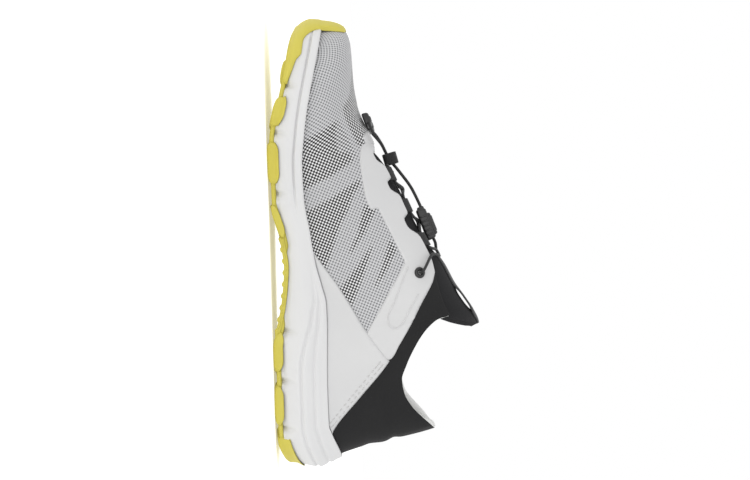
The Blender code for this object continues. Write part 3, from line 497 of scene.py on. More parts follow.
def addWall(piece, thick, innerSlot=0, offset=-1.0, rounding=0.0, segments=2):
    wall = piece.modifiers.new("wall", "SOLIDIFY")
    wall.thickness = thick * 0.001
    wall.offset = offset
    wall.material_offset = innerSlot
    wall.material_offset_rim = innerSlot
    if rounding:
        edge = piece.modifiers.new("round", "BEVEL")
        edge.width = rounding * 0.001
        edge.segments = segments
        edge.limit_method = "ANGLE"
        edge.angle_limit = math.radians(50)


def sweepTube(mesh, line, radius, layer, around=12):
    # a round cord along a line, with its own coordinates for the braid
    ahead = np.gradient(line, axis=0)
    ahead /= np.linalg.norm(ahead, axis=1, keepdims=True)
    sideways = np.cross(ahead, (0.0, 0.3, 1.0))
    sideways /= np.linalg.norm(sideways, axis=1, keepdims=True)
    upward = np.cross(sideways, ahead)
    angle = np.linspace(0, 2 * math.pi, around + 1)[None, :, None]
    ring = line[:, None] + radius * (np.cos(angle) * sideways[:, None] + np.sin(angle) * upward[:, None])
    length = runLength(line)
    run = np.stack(np.broadcast_arrays(length[:, None], angle[..., 0] * radius, 0.0), -1)
    gridInto(mesh, ring, [(layer, run)])
    for end in (0, -1):
        cap = np.stack((ring[end], np.repeat(line[end][None], around + 1, 0)), 1)
        gridInto(mesh, cap)


def evenStations(count, start=0.0, end=20.0):
    dense = np.linspace(start, end, 1201)
    line = outlineAt(dense, 1)[0]
    length = runLength(line)
    return np.interp(np.linspace(0, length[-1], count + 1), length, dense)


def roundHeel(half):
    # stations and sides, by the inner side to the heel and back by the outer side
    sides = np.concatenate((np.ones(len(half)), -np.ones(len(half) - 1)))
    return np.concatenate((half, half[-2::-1])), sides


def stationAt(along, side):
    dense = np.linspace(0, 20, 2001)
    return np.interp(along, outlineAt(dense, side)[0][::-1, 0], dense[::-1])


def routeThrough(points, spacing):
    points = np.asarray(points, float)
    length = runLength(points)
    count = max(2, int(round(length[-1] / spacing)))
    at = np.linspace(0, length[-1], count + 1)
    return np.stack([smoothThrough(length, points[:, k], at) for k in range(points.shape[1])], -1)


def polygonShare(flat, corners, soft):
    # 1 inside the outline, 0 outside, with a soft edge
    x, y = flat[..., 0], flat[..., 1]
    inside = np.zeros(x.shape, bool)
    nearest = np.full(x.shape, 1e9)
    for (ax, ay), (bx, by) in zip(corners, corners[1:] + corners[:1]):
        nearest = np.minimum(nearest, segmentDistance(flat, (ax, ay), (bx, by)))
        if ay != by:
            inside ^= ((ay > y) != (by > y)) & (x < (bx - ax) * (y - ay) / (by - ay) + ax)
    return eased(np.where(inside, nearest, -nearest), -soft / 2, soft / 2)


# midsole

midsoleLook = {
    "columns": 400,
    "rows": 66,
    "lipBelowRim": 4.8,
    "lipOut": 1.1,
    "lipStart": (160.0, 194.0),  # along, where the lip grows to its full depth
    "lipEnd": (288.0, 281.0),
    "heelPart": (138.0, 104.0),  # along, where the grooves grow to their full depth
    "grooveWidth": 0.95,
    "heelGrooves": ((0.44, 1.15), (0.72, 1.0)),  # share of the side's height, depth
    "notches": (248.4, 217.7, 178.5, 89.9, 57.5, 26.4),  # along, between the tread blocks
    "notchDepth": 3.2,
    "notchHeight": 10.0,
    "notchWidth": 1.7,
}


def midsoleSide(station, side, rise, grow=0.0, lower=0.0):
    base, outward = outlineAt(station, side)
    flare = soleAt("flare", base[..., 0])
    inset = sideAt("tuck", rise) + sideAt("flareShare", rise) * flare - grow
    plan = base - outward * inset[..., None]
    bottom = soleAt("under", plan[..., 0]) + rubberStep(plan[..., 0]) - lower
    height = bottom + rise * (soleAt("rim", base[..., 0]) - bottom)
    return raised(plan, height)


def midsoleSculpt(points, rise, rimHeight, bottom):
    # outward movement of the foam's side: lip line, heel grooves and the notches between the tread blocks
    along, height = points[..., 0], points[..., 2]
    lipFrom, lipTo = midsoleLook["lipEnd"]
    fore = eased(along, *midsoleLook["lipStart"]) * np.clip((lipFrom - along) / (lipFrom - lipTo), 0, 1)
    past = rimHeight - height - midsoleLook["lipBelowRim"]
    amount = midsoleLook["lipOut"] * fore / (1 + np.exp(np.clip(past / 0.16, -40, 40)))
    amount -= 1.2 * fore * hump(past - 0.7, 0.6)
    hind = eased(along, *midsoleLook["heelPart"])
    spread = np.clip((along - 70) / 60, 0, 1)
    for share, depth in midsoleLook["heelGrooves"]:
        line = share + (0.95 - share) * spread * 0.8
        above = (rise - line) * (rimHeight - bottom)
        amount -= depth * hind * hump(above, midsoleLook["grooveWidth"])
        amount += 0.35 * hind * hump(above - 3.0, 2.0)
    up = np.clip(1 - (height - bottom) / midsoleLook["notchHeight"], 0, 1)
    for place in midsoleLook["notches"]:
        amount -= midsoleLook["notchDepth"] * up * hump(along - place - 2 * up, midsoleLook["notchWidth"])
        amount += 1.1 * up * hump(along - place + 4.0, 2.2)
    return amount


def makeMidsole():
    stations, sides = roundHeel(evenStations(midsoleLook["columns"]))
    rises = np.linspace(0, 1, midsoleLook["rows"] + 1) ** 0.9
    s, d, t = matched(stations[:, None], sides[:, None], rises[None, :])
    base, outward = outlineAt(s, d)
    side = midsoleSide(s, d, t)
    rimHeight = soleAt("rim", base[..., 0])
    bottom = soleAt("under", side[..., 0]) + rubberStep(side[..., 0])
    side[..., :2] += outward * midsoleSculpt(side, t, rimHeight, bottom)[..., None]
    rows = [side]
    flare = soleAt("flare", base[:, 0, 0])
    for more, column, lift in ((1.2, "rim", 0.25), (shoe["rim"], "rim", 0.0), (shoe["rim"], "bed", 0.0)):
        plan = base[:, 0] - outward[:, 0] * (flare + more)[:, None]
        height = soleAt(column, base[:, 0, 0] if column == "rim" else plan[:, 0]) + lift
        rows.append(raised(plan, height)[:, None])
    ring = np.concatenate(rows, 1)
    mesh = bmesh.new()
    gridInto(mesh, ring)
    half = midsoleLook["columns"]
    for level in (0, -1):  # underside and tray floor, from one side's edge to the other's
        near, far = ring[: half + 1, level], ring[half:, level][::-1]
        gridInto(mesh, sheetBetween(near, far, 9))
    return finishPiece("midsole_foam", mesh, [foam], ["midsole"])


makeMidsole()
print("midsole made")


# outsole: plate, tread blocks, toe bumper

outsoleLook = {
    "plateInset": 4.3,
    "plateThick": 2.9,
    "plateColumns": 150,
    "endLength": 7.0,  # a block rounds off over this much of its ends
    "endSqueeze": 2.4,
}

# edge blocks on both sides: rear, front, inner share of the half width,
# height on the side, forward skew, proud of the foam
edgeBlocks = (
    (31.7, 58.0, 0.40, 6.0, -2.0, 1.9),
    (63.5, 89.0, 0.40, 6.4, 2.0, 1.9),
    (86.0, 153.0, 0.76, 3.1, 0.0, 0.9),
    (149.0, 170.0, 0.45, 5.2, 3.0, 1.7),
    (184.0, 211.5, 0.42, 7.4, 2.0, 1.9),
    (222.0, 241.0, 0.42, 8.4, 2.0, 1.9),
)
heelBlock = {"station": 17.25, "inside": 19.0, "flank": 8.6, "proud": 1.7, "corner": 0.3}
# blocks in the middle: rear, front, half width, forward skew at their ends,
# place across as a share of the sole's half width
middleBlocks = (
    (38.0, 52.0, 10.5, -6.0, 0.0), (66.0, 80.0, 10.5, -6.0, 0.0), (158.0, 170.0, 15.0, 7.0, 0.0),
    (180.0, 193.0, 15.0, 7.0, 0.0), (202.0, 215.0, 15.0, 7.0, 0.0), (226.0, 239.0, 14.5, 7.0, 0.0),
    (249.0, 261.0, 12.5, 7.0, 0.0), (251.0, 266.0, 8.5, 1.0, 0.64), (251.0, 266.0, 8.5, 1.0, -0.64),
)
roundShares = np.array((0.0, 0.0, 0.03, 0.09, 0.2, 0.35, 0.5, 0.65, 0.8, 0.91, 0.97, 1.0, 1.0))
roundDepths = np.array((1.0, 0.24, 0.06, 0.0, 0.0, 0.0, 0.0, 0.0, 0.0, 0.0, 0.06, 0.24, 1.0))


def longRound(count):
    # the same rounded ends with more columns between
    shares = np.concatenate((roundShares[:4], np.linspace(0.1, 0.9, count), roundShares[-4:]))
    return shares, np.concatenate((roundDepths[:4], np.zeros(count), roundDepths[-4:]))


def layBlock(mesh, stations, sides, depths, inside, flank, proud, skew=0.0, tooth=0.0, corner=1.3):
    # a block round the sole's edge: its underside, a rounded corner and its face on the foam
    inner = np.concatenate(((0, 0, 0.03, 0.1), np.linspace(0.2, 1, 6)))
    path = [(inside + (5.6 - inside) * share, 0.0) for share in inner]
    path += [(4.4, 0.2), (3.6, 0.7), (3.1, min(1.5, flank * 0.5))]
    face = np.linspace(min(2.2, flank * 0.6), flank * 0.92, 6)
    heights = np.concatenate((face, (flank * 0.97, flank, flank)))
    rowDepths = np.concatenate(((1.0, 0.24, 0.06), np.zeros(len(path) - 3 + 6), (0.05, 0.2, 1.0)))
    points = np.zeros((len(stations), len(path) + len(heights), 3))
    length = runLength(outlineAt(np.asarray(stations), np.asarray(sides))[0])
    fromEnd = np.minimum(length, length[-1] - length)
    for i, (s, side, depth) in enumerate(zip(stations, sides, depths)):
        base, outward = outlineAt(s, side)
        rounding = np.clip(1 - fromEnd[i] / outsoleLook["endLength"], 0, 1) ** 2
        under = float(soleAt("under", base[0]))
        rimHeight = float(soleAt("rim", base[0]))
        step = float(rubberStep(base[0]))
        bite = tooth * max(0.0, math.sin(base[0] * 0.84)) ** 0.7
        lift = corner * rounding
        squeeze = 1 - outsoleLook["endSqueeze"] * lift / flank
        line = []
        for inset, h in path:
            line.append((inset, h * squeeze - bite + lift * np.clip(1 - (inset - 3) / 8, 0, 1)))
        for h in heights * squeeze + lift:
            t = max((h - step) / (rimHeight - under - step), 0.0)
            tuck = float(sideAt("tuck", t)) + (step - min(h, step)) * 0.1
            line.append((tuck - proud, h))
        line = np.array(line)
        tangent = np.gradient(line, axis=0)
        tangent[:9] = (-1.0, 0.0)
        inwardDir = np.stack((tangent[:, 1], -tangent[:, 0]), -1)
        inwardDir /= np.maximum(np.linalg.norm(inwardDir, axis=1, keepdims=True), 1e-6)
        push = np.minimum(depth * 4.4 + rowDepths * np.where(np.arange(len(line)) < 9, 4.2, 2.6), 4.6)
        line = line + inwardDir * push[:, None]
        plan = base - outward * line[:, :1]
        plan[:, 0] += skew * np.clip(1 - (line[:, 0] - 2) / max(inside - 2, 1), 0, 1)
        points[i, :, :2] = plan
        points[i, :, 2] = np.maximum(soleAt("under", plan[:, 0]) + line[:, 1], 0.0)
    gridInto(mesh, points)
    closeEnds(mesh, points)


def makeEdgeBlock(mesh, row, side):
    rear, front, inner, flank, skew, proud = row
    width = abs(outlineAt(stationAt((rear + front) / 2, side), side)[0][1])
    long = front - rear > 40
    shares, depths = longRound(110) if long else longRound(14)
    stations = stationAt(rear + shares * (front - rear), side)
    sides = np.full(len(stations), side)
    tooth, corner = (1.0, 0.0) if long else (0.0, min(1.7, flank * 0.26))
    layBlock(mesh, stations, sides, depths, width * (1 - inner), flank, proud, skew, tooth, corner)


def makeHeelBlock(mesh):
    shares, depths = longRound(50)
    turn = (2 * shares - 1) * (20 - heelBlock["station"])
    sides = np.where(turn <= 0, 1, -1)
    layBlock(
        mesh, 20 - np.abs(turn), sides, depths,
        heelBlock["inside"], heelBlock["flank"], heelBlock["proud"], corner=heelBlock["corner"],
    )


def closeEnds(mesh, points):
    # a cap inside the foam, from the block's rear end to its front end
    rim = np.stack((points[:, 0], points[:, -1]), 1)
    gridInto(mesh, rim)
    for edge in (points[0], points[-1]):
        middle = (edge[:1] + edge[-1:]) / 2
        gridInto(mesh, np.stack((edge, np.repeat(middle, len(edge), 0)), 1))


def makeMiddleBlock(mesh, row):
    rear, front, half, skew, offset = row
    a = roundShares[:, None]
    w = (2 * roundShares - 1)[None, :]
    soft = 0.25 * np.abs(2 * a - 1) ** 3
    push = np.minimum((roundDepths[:, None] + roundDepths[None, :] + soft) * 4.2, 4.4)
    along = rear + a * (front - rear) + skew * np.abs(w)
    across = w * half + np.zeros_like(a)
    medial = outlineAt(stationAt(along, 1), 1)[0][..., 1]
    lateral = outlineAt(stationAt(along, -1), -1)[0][..., 1]
    centre = (medial + lateral) / 2 + offset * (medial - lateral) / 2
    points = np.stack((along, across + centre, soleAt("under", along) + push), -1)
    gridInto(mesh, points)


bumperColumns = ("station", "top")
bumperRows = (
    (0.0, 1.43), (1.1, 1.41), (1.6, 1.25), (1.85, 0.96), (2.2, 0.66),
    (3.0, 0.40), (3.9, 0.42), (4.2, 0.26), (4.75, 0.17), (5.3, 0.08),
)
bumperLook = {
    "columns": 84, "levels": 26, "thick": 1.8, "gap": 0.7,
    "end": 5.3,  # station
    "under": (16.0, 12.0, 8.0, 6.0),  # inset of its rows below the foam
    "fill": 2.3, "fillRise": 0.24,  # rubber in the corner between foam and cloth
    "blend": (0.82, 1.22),  # level, from the foam's face to the cloth's
}
bumperAt = reader(bumperRows, bumperColumns)


def toeFace(station, side, level, lift):
    # front of the shoe: level 0 to 1 on the foam, 1 to 2 on the upper
    onFoam = midsoleSide(station, side, np.minimum(level, 0.97), lift, lift)
    rise = np.maximum(level - 1, 0.0)
    corner = bumperLook["fill"] * hump(rise, bumperLook["fillRise"])
    fill = lift + corner * np.clip(lift - 0.9, 0, 1)
    onCloth = upperAt(station, side, rise) + upperNormal(station, side, rise) * fill[..., None]
    t = eased(level, *bumperLook["blend"])[..., None]
    return onFoam * (1 - t) + onCloth * t


def makeBumper(mesh):
    half = np.linspace(0, bumperLook["end"], bumperLook["columns"] // 2 + 1)
    stations = np.concatenate((half[::-1], half[1:]))
    sides = np.concatenate((-np.ones(len(half)), np.ones(len(half) - 1)))
    top = bumperAt("top", stations)
    shares = np.concatenate((np.linspace(0, 0.93, bumperLook["levels"] - 2), (0.97, 0.992, 1.0)))
    s, d, levels = matched(stations[:, None], sides[:, None], top[:, None] * shares[None, :])
    edge = np.where(shares > 0.9, (1 - ((shares - 0.9) / 0.1) ** 3), 1.0)
    ends = np.clip((bumperLook["end"] - stations) / 0.25, 0, 1) ** 0.5
    thin = 1 - 0.5 * np.clip((shares - 0.5) / 0.5, 0, 1) ** 2
    full = np.maximum((edge * thin)[None, :] * ends[:, None], 0.03)
    outer = toeFace(s, d, levels, bumperLook["gap"] + bumperLook["thick"] * full)
    inner = toeFace(s, d, levels, np.full(levels.shape, bumperLook["gap"] - 0.4))
    underOut, underIn = [], []
    base, outward = outlineAt(stations, sides)
    thick = bumperLook["gap"] + bumperLook["thick"] * ends
    for inset in bumperLook["under"]:
        plan = base - outward * inset
        height = soleAt("under", plan[:, 0]) + shoe["rubberStep"]
        underOut.append(raised(plan, height - thick))
        underIn.append(raised(plan, height - 0.3))
    outer = np.concatenate((np.stack(underOut, 1), outer), 1)
    inner = np.concatenate((np.stack(underIn, 1), inner), 1)
    skin = np.concatenate((outer, inner[:, ::-1]), 1)
    skin = np.concatenate((skin, skin[:, :1]), 1)
    gridInto(mesh, skin)
    count = outer.shape[1]
    for end in (0, -1):
        gridInto(mesh, np.stack((outer[end], inner[end]), 1).reshape(count, 2, 3))


def makeOutsole():
    mesh = bmesh.new()
    stations = evenStations(outsoleLook["plateColumns"])
    edges = []
    for side in (1, -1):
        base, outward = outlineAt(stations, side)
        edges.append(base - outward * outsoleLook["plateInset"])
    plan = sheetBetween(*edges, 21)
    high = soleAt("under", plan[..., 0]) + rubberStep(plan[..., 0]) - 0.1
    low = high - np.minimum(outsoleLook["plateThick"], rubberStep(plan[..., 0]) - 1.2)
    bottom = raised(plan, low)
    top = raised(plan, high)
    gridInto(mesh, bottom)
    gridInto(mesh, top)
    for k in (0, -1):
        gridInto(mesh, np.stack((bottom[:, k], top[:, k]), 1))
    for row in edgeBlocks:
        for side in (1, -1):
            makeEdgeBlock(mesh, row, side)
    makeHeelBlock(mesh)
    for row in middleBlocks:
        makeMiddleBlock(mesh, row)
    makeBumper(mesh)
    return finishPiece("outsole_rubber", mesh, [rubber], ["outsole"])


makeOutsole()
print("outsole made")


# insole

insoleLook = {"columns": 200, "rows": 40, "thick": 3.4, "cup": 2.2, "edge": 3.0}


def makeInsole():
    stations = evenStations(insoleLook["columns"])
    edges = []
    for side in (1, -1):
        base, outward = outlineAt(stations, side)
        inset = soleAt("flare", base[:, 0]) + shoe["rim"] + shoe["footGap"] + insoleLook["edge"]
        edges.append(base - outward * inset[:, None])
    plan = sheetBetween(*edges, insoleLook["rows"] + 1)
    reach = np.abs(np.linspace(-1, 1, insoleLook["rows"] + 1))[None, :] ** 4
    top = shoe["gap"] + 0.4 + insoleLook["thick"]
    points = raised(plan, soleAt("bed", plan[..., 0]) + top + insoleLook["cup"] * (reach - 0.7))
    mesh, cloth = clothMesh()
    gridInto(mesh, points[::-1], [(cloth, points[::-1])])
    piece = finishPiece("insole_sheet", mesh, [insoleCloth], ["insole"], outward=False)
    addWall(piece, insoleLook["thick"] - 0.6)
    return piece


makeInsole()
print("insole made")


# upper shell

shellLook = {"columns": 262, "rows": 62, "reach": 78.0, "toePart": (205.0, 240.0)}

# open dark zones of the mesh on the side: how open, then along and height of each corner
sideZones = (
    (1.0, [
        (213.0, 22.0), (220.0, 35.7), (227.0, 45.5),
        (216.0, 45.0), (207.0, 46.0), (206.0, 53.0), (201.0, 56.0),
        (191.0, 41.6), (181.0, 21.0),
    ]),
    (0.6, [(220.0, 37.0), (227.3, 46.5), (217.0, 52.0), (203.0, 58.0), (202.0, 46.0)]),
    (1.0, [
        (168.0, 22.0), (177.0, 40.5), (182.2, 47.9),
        (188.8, 59.1), (185.1, 59.5), (177.1, 54.4), (169.7, 52.0),
        (160.0, 46.4), (139.3, 39.2), (130.8, 35.7), (134.0, 30.0), (146.0, 26.0),
    ]),
    (1.0, [
        (172.4, 61.8), (168.6, 69.3), (154.4, 62.3), (140.7, 52.5), (141.5, 50.8),
        (153.5, 56.6), (166.7, 60.0),
    ]),
    (1.0, [(117.1, 43.5), (132.7, 56.0), (145.4, 65.2), (144.8, 66.6), (124.2, 59.5), (106.3, 52.0)]),
    (1.0, [
        (148.7, 77.0), (147.5, 79.5), (142.1, 82.0), (129.9, 75.8), (118.5, 68.2),
        (119.0, 66.8), (131.7, 72.0),
    ]),
)
# open dark zones on top of the toe: along and across (the inner side is positive)
topZones = (
    [(282.4, 11.6), (281.5, -13.2), (274.2, -23.1), (257.7, -33.0),
     (242.8, -41.3), (229.6, -46.9), (205.0, -53.0),
     (194.0, -45.5), (214.7, -43.6), (229.6, -39.6),
     (246.1, -31.4), (257.7, -24.8), (270.9, -16.5), (276.5, -8.3),
     (275.8, 11.6)],
    [(268.4, -7.4), (267.6, 13.9), (256.0, 19.8),
     (244.5, 26.4), (236.2, 33.7), (226.3, 33.0), (205.0, 27.0),
     (200.0, 0.0), (196.0, -36.0), (214.7, -38.0), (226.3, -31.4), (242.8, -23.1), (259.3, -13.2)],
)
# the black heel and collar lie behind this line, which the film's rear edge covers: height, along
heelLine = (
    (20.0, 14.0), (33.0, 26.0), (69.0, 68.0), (75.0, 76.0),
    (86.0, 93.0), (95.0, 111.0), (101.0, 121.0), (108.0, 129.0),
)


def behindLine(points):
    heights, alongs = zip(*heelLine)
    return points[..., 0] < np.interp(points[..., 2], heights, alongs)


def clothFlat(points):
    # the cloth laid flat, in millimetres (across, along): each section unrolled outwards from its top
    steps = np.linalg.norm(np.diff(points[:, ::-1], axis=1), axis=-1)
    length = np.concatenate((np.zeros((len(points), 1)), np.cumsum(steps, 1)), 1)[:, ::-1]
    top, foot = points[:, -1, :2], points[:, 3, :2]
    out = (foot - top) / np.maximum(np.linalg.norm(foot - top, axis=1, keepdims=True), 1e-6)
    flat = top[:, None] + out[:, None] * length[..., None]
    toe = eased(points[..., 0], *shellLook["toePart"])
    upright = np.sign(out[:, 1:]) * (shellLook["reach"] - points[..., 2])  # the sides hang straight
    flat = flat * toe[..., None] + np.stack((points[..., 0], upright), -1) * (1 - toe[..., None])
    return np.concatenate((flat[..., 1:], flat[..., :1], np.zeros(flat.shape[:2] + (1,))), -1)


def darkZones(points, side):
    shares = np.zeros(points.shape[:-1])
    for opennessAndShade, corners in sideZones:
        share = opennessAndShade * polygonShare(points[..., (0, 2)], corners, 2.0)
        share = np.where((side < 0) & (points[..., 0] > 196), 0.0, share)
        shares = np.maximum(shares, share)
    for corners in topZones:
        share = polygonShare(points[..., (0, 1)], corners, 2.0)
        shares = np.maximum(shares, np.where(points[..., 0] > 192, share, 0.0))
    return shares


def makeShell():
    stations, sides = roundHeel(evenStations(shellLook["columns"]))
    rises = np.concatenate(((-1.0, -0.5), np.linspace(0, 1, shellLook["rows"] + 1)))
    s, d, r = matched(stations[:, None], sides[:, None], rises[None, :])
    r = np.where(r > 0, r * topRise(s), r)
    points = shellAt(s, d, r)
    # painted shade: a thin band just above the foam rim is drawn as open, darker cloth, standing in for the
    # shade in the crease where the upper meets the foam
    seamDipAndShade = 0.9 * hump(np.maximum(points[..., 2] - points[:, 2:3, 2], 0), 0.9)
    mesh, cloth = clothMesh()
    dark = mesh.verts.layers.float.new("dark")
    gridInto(mesh, points, [(cloth, clothFlat(points)), (dark, np.maximum(darkZones(points, d), seamDipAndShade))])
    cloths = [meshCloth, neoprene, lining, lining]
    piece = finishPiece("upper_shell", mesh, cloths, ["upper"], outward=False)
    middles = np.array([face.center for face in piece.data.polygons]) * 1000
    middles += (shoe["centreAlong"], shoe["centreAcross"], 0.0)
    piece.data.polygons.foreach_set("material_index", behindLine(middles).astype(np.int32))
    addWall(piece, shoe["wall"], 2)
    return piece


makeShell()
print("upper shell made")


# film panels: outlines in the upper's own station and rise

panelLook = {"stationScale": 16.0, "riseScale": 90.0, "cut": 1.0, "edge": 0.9}
lookStations = np.linspace(0, 20, 801)
lookRises = np.linspace(0, 1, 121)
lookPoints = {side: upperAt(lookStations[:, None], side, lookRises[None, :]) for side in (1, -1)}


def onUpper(flat, side, axes=(0, 2)):
    # station and rise of places seen from the side, or from above with axes (0, 1)
    axes = list(axes)
    found = []
    for target in np.asarray(flat, float):
        near = ((lookPoints[side][..., axes] - target) ** 2).sum(-1)
        i, j = divmod(int(near.argmin()), len(lookRises))
        here = np.array((lookStations[i], lookRises[j]))
        for _ in range(4):
            at = upperAt(here[0], side, here[1])[axes]
            overStation = (upperAt(here[0] + 0.01, side, here[1])[axes] - at) / 0.01
            overRise = (upperAt(here[0], side, min(here[1] + 0.005, 1))[axes] - at) / 0.005
            slope = np.stack((overStation, overRise), 1)
            if here[1] >= 0.995 or abs(np.linalg.det(slope)) < 1e-3:
                break
            here = np.clip(here + np.clip(np.linalg.solve(slope, target - at), -0.2, 0.2), (0, 0), (20, 1))
        found.append(here)
    return np.array(found)


def chain(points, spacing=1.0):
    scale = (panelLook["stationScale"], panelLook["riseScale"])
    return routeThrough(np.asarray(points) * scale, spacing) / scale


def nearestOnLine(flat, corners):
    # nearest point of a closed line, and how far it is
    best = np.full(len(flat), 1e9)
    place = np.zeros((len(flat), 2))
    for a, b in zip(corners, np.roll(corners, -1, 0)):
        run = b - a
        t = np.clip(((flat - a) @ run) / max(run @ run, 1e-9), 0, 1)
        spot = a + t[:, None] * run
        far = np.linalg.norm(flat - spot, axis=1)
        place = np.where((far < best)[:, None], spot, place)
        best = np.minimum(best, far)
    return place, best


def layPanel(mesh, outline, side, lifts, ridgeEnd=0.0):
    # a grid on the upper, kept inside the outline, its rim drawn to the outline and its edge sunk
    scale = np.array((panelLook["stationScale"], panelLook["riseScale"]))
    corners = np.asarray(outline) * scale
    cut = panelLook["cut"]
    low = np.floor(corners.min(0) / cut).astype(int)
    high = np.ceil(corners.max(0) / cut).astype(int)
    part = bmesh.new()
    count = high - low
    spread = bmesh.ops.create_grid(part, x_segments=count[0], y_segments=count[1], size=0.5)["verts"]
    for corner in spread:
        share = np.array(corner.co[:2]) + 0.5
        corner.co = (*((low + np.round(share * count)) * cut), 0.0)
    middles = np.array([face.calc_center_median()[:2] for face in part.faces])
    inside = polygonShare(middles, [tuple(c) for c in corners], 1e-6) > 0.5
    bmesh.ops.delete(part, geom=[f for f, kept in zip(part.faces[:], inside) if not kept], context="FACES")
    rim = [corner for corner in part.verts if corner.is_boundary]
    flat = np.array([corner.co[:2] for corner in rim])
    for corner, place in zip(rim, nearestOnLine(flat, corners)[0]):
        corner.co = (*place, 0.0)
    ahead = np.roll(corners, -1, 0) - corners
    behind = corners - np.roll(corners, 1, 0)
    sizes = np.linalg.norm(ahead, axis=1) * np.linalg.norm(behind, axis=1)
    turn = (ahead * behind).sum(1) / np.maximum(sizes, 1e-9)
    flat = np.array([corner.co[:2] for corner in rim])
    for tip in corners[turn < 0.8]:
        rim[int(np.linalg.norm(flat - tip, axis=1).argmin())].co = (*tip, 0.0)
    flat = np.array([corner.co[:2] for corner in part.verts])
    freeEdge = corners[~((corners[:, 1] > 0.999 * scale[1]) & (corners[:, 0] < ridgeEnd * scale[0]))]
    near = np.clip(nearestOnLine(flat, freeEdge)[1] / panelLook["edge"], 0, 1)
    flat = np.clip(flat / scale, (0, 0), (20, 1))
    lift = lifts[0] + (lifts[1] - lifts[0]) * near * (2 - near)
    placed = toFrame(shellAt(flat[:, 0], side, flat[:, 1], lift))
    wanted = upperNormal(flat[:, 0], np.full(len(flat), side), flat[:, 1])
    for corner, place in zip(part.verts, placed):
        corner.co = place
    part.normal_update()
    facing = sum(corner.normal.dot(Vector(n)) for corner, n in zip(part.verts, wanted))
    if facing < 0:
        bmesh.ops.reverse_faces(part, faces=part.faces[:])
    data = bpy.data.meshes.new("panel_half")
    part.to_mesh(data)
    part.free()
    mesh.from_mesh(data)
    bpy.data.meshes.remove(data)


# outlines seen from the inner side: along, height
filmLook = {
    "frontStation": 7.02,
    "ridgeEnd": 7.5,  # up to here the two halves are one sheet
    "frontTop": ((221.0, 11.0), (216.5, 21.0)),  # along, across
    "outerEdge": ((209.0, 60.3), (202.0, 59.4), (187.0, 60.9), (175.0, 62.9), (168.2, 66.0)),
    "hook": ((168.2, 66.0), (169.4, 70.3)),
    "lowerEdge": ((169.4, 70.3), (160.5, 74.6), (151.3, 78.9), (134.1, 86.9)),
    "saddle": ((134.1, 86.9), (112.0, 74.3), (89.2, 61.2), (83.0, 57.6)),
    "saddleEnd": ((83.0, 57.6), (69.0, 70.5)),
    "rearEdge": (
        (69.0, 70.5), (71.2, 76.4), (80.0, 82.0), (92.3, 89.6),
        (108.0, 98.0), (115.5, 102.4), (120.0, 104.8),
    ),
    "topEnd": 12.30,
    "lifts": (-0.1, 0.65),  # at the edge, inside it
    "thick": 0.9,
}
quarterLook = {
    "frontEdge": ((142.0, 27.9), (129.0, 37.0), (116.3, 45.5), (89.2, 61.2), (70.8, 74.6)),
    "rearEdge": ((70.0, 75.2), (66.4, 72.6), (46.0, 54.8), (27.0, 38.4), (23.4, 36.4)),
    "lifts": (0.5, 1.25),
    "thick": 1.5,
}


def sideChain(points, side):
    return onUpper(routeThrough(points, 2.0), side)


def makeEyestay():
    mesh = bmesh.new()
    for side in (1, -1):
        ridge = tuple(float(topAt(column, filmLook["frontStation"])) for column in ("along", "centre"))
        over = [ridge] + [(along, across * side) for along, across in filmLook["frontTop"]]
        front = onUpper(routeThrough(over, 2.0), side, (0, 1))
        front[0] = (filmLook["frontStation"], 1.0)
        outer = chain(np.concatenate((front, sideChain(filmLook["outerEdge"], side))))
        keys = ("hook", "lowerEdge", "saddle", "saddleEnd")
        edges = [chain(sideChain(filmLook[key], side))[1:] for key in keys]
        rear = chain(np.concatenate((sideChain(filmLook["rearEdge"], side), [(filmLook["topEnd"], 1.0)])))
        throat = np.arange(filmLook["topEnd"] - 0.04, filmLook["frontStation"] + 0.02, -0.04)
        top = np.stack((throat, topRise(throat)), -1)
        outline = np.concatenate([outer] + edges + [rear[1:], top])
        layPanel(mesh, outline, side, filmLook["lifts"], filmLook["ridgeEnd"])
    piece = finishPiece("film_eyestay", mesh, [film], outward=False)
    addWall(piece, filmLook["thick"])
    return piece


def makeQuarter(name, side):
    mesh = bmesh.new()
    front = chain(sideChain(quarterLook["frontEdge"], side))
    rear = chain(sideChain(quarterLook["rearEdge"], side))
    front[0, 1] = 0.0
    rear[-1, 1] = 0.0
    bottom = np.linspace(rear[-1, 0], front[0, 0], 120)[1:-1]
    outline = np.concatenate((front, rear, np.stack((bottom, np.zeros(len(bottom))), -1)))
    layPanel(mesh, outline, side, quarterLook["lifts"])
    piece = finishPiece(name, mesh, [film], outward=False)
    addWall(piece, quarterLook["thick"])
    return piece


beadLook = {
    "line": (  # along, height
        (130.8, 88.6), (122.0, 85.0), (108.8, 79.6), (97.8, 75.0), (93.0, 76.0),
        (91.2, 80.0), (94.0, 84.0), (103.7, 89.6), (113.0, 95.2),
    ),
    "radius": 0.45,
}


def makeBeads():
    mesh, layer = clothMesh()
    for side in (1, -1):
        spots = onUpper(routeThrough(beadLook["line"], 1.2), side)
        line = shellAt(spots[:, 0], side, spots[:, 1], filmLook["lifts"][1])
        sweepTube(mesh, line, beadLook["radius"], layer, 8)
    return finishPiece("film_beads", mesh, [film])


makeEyestay()
makeBeads()
makeQuarter("film_quarter_medial", 1)
makeQuarter("film_quarter_lateral", -1)
print("film panels made")


# stitches: small beads of thread laid along lines, joined in one mesh

stitchLook = {"long": 2.5, "pitch": 3.2, "radius": 0.38, "insets": (2.4, 4.8), "inward": (0.653, -0.757)}


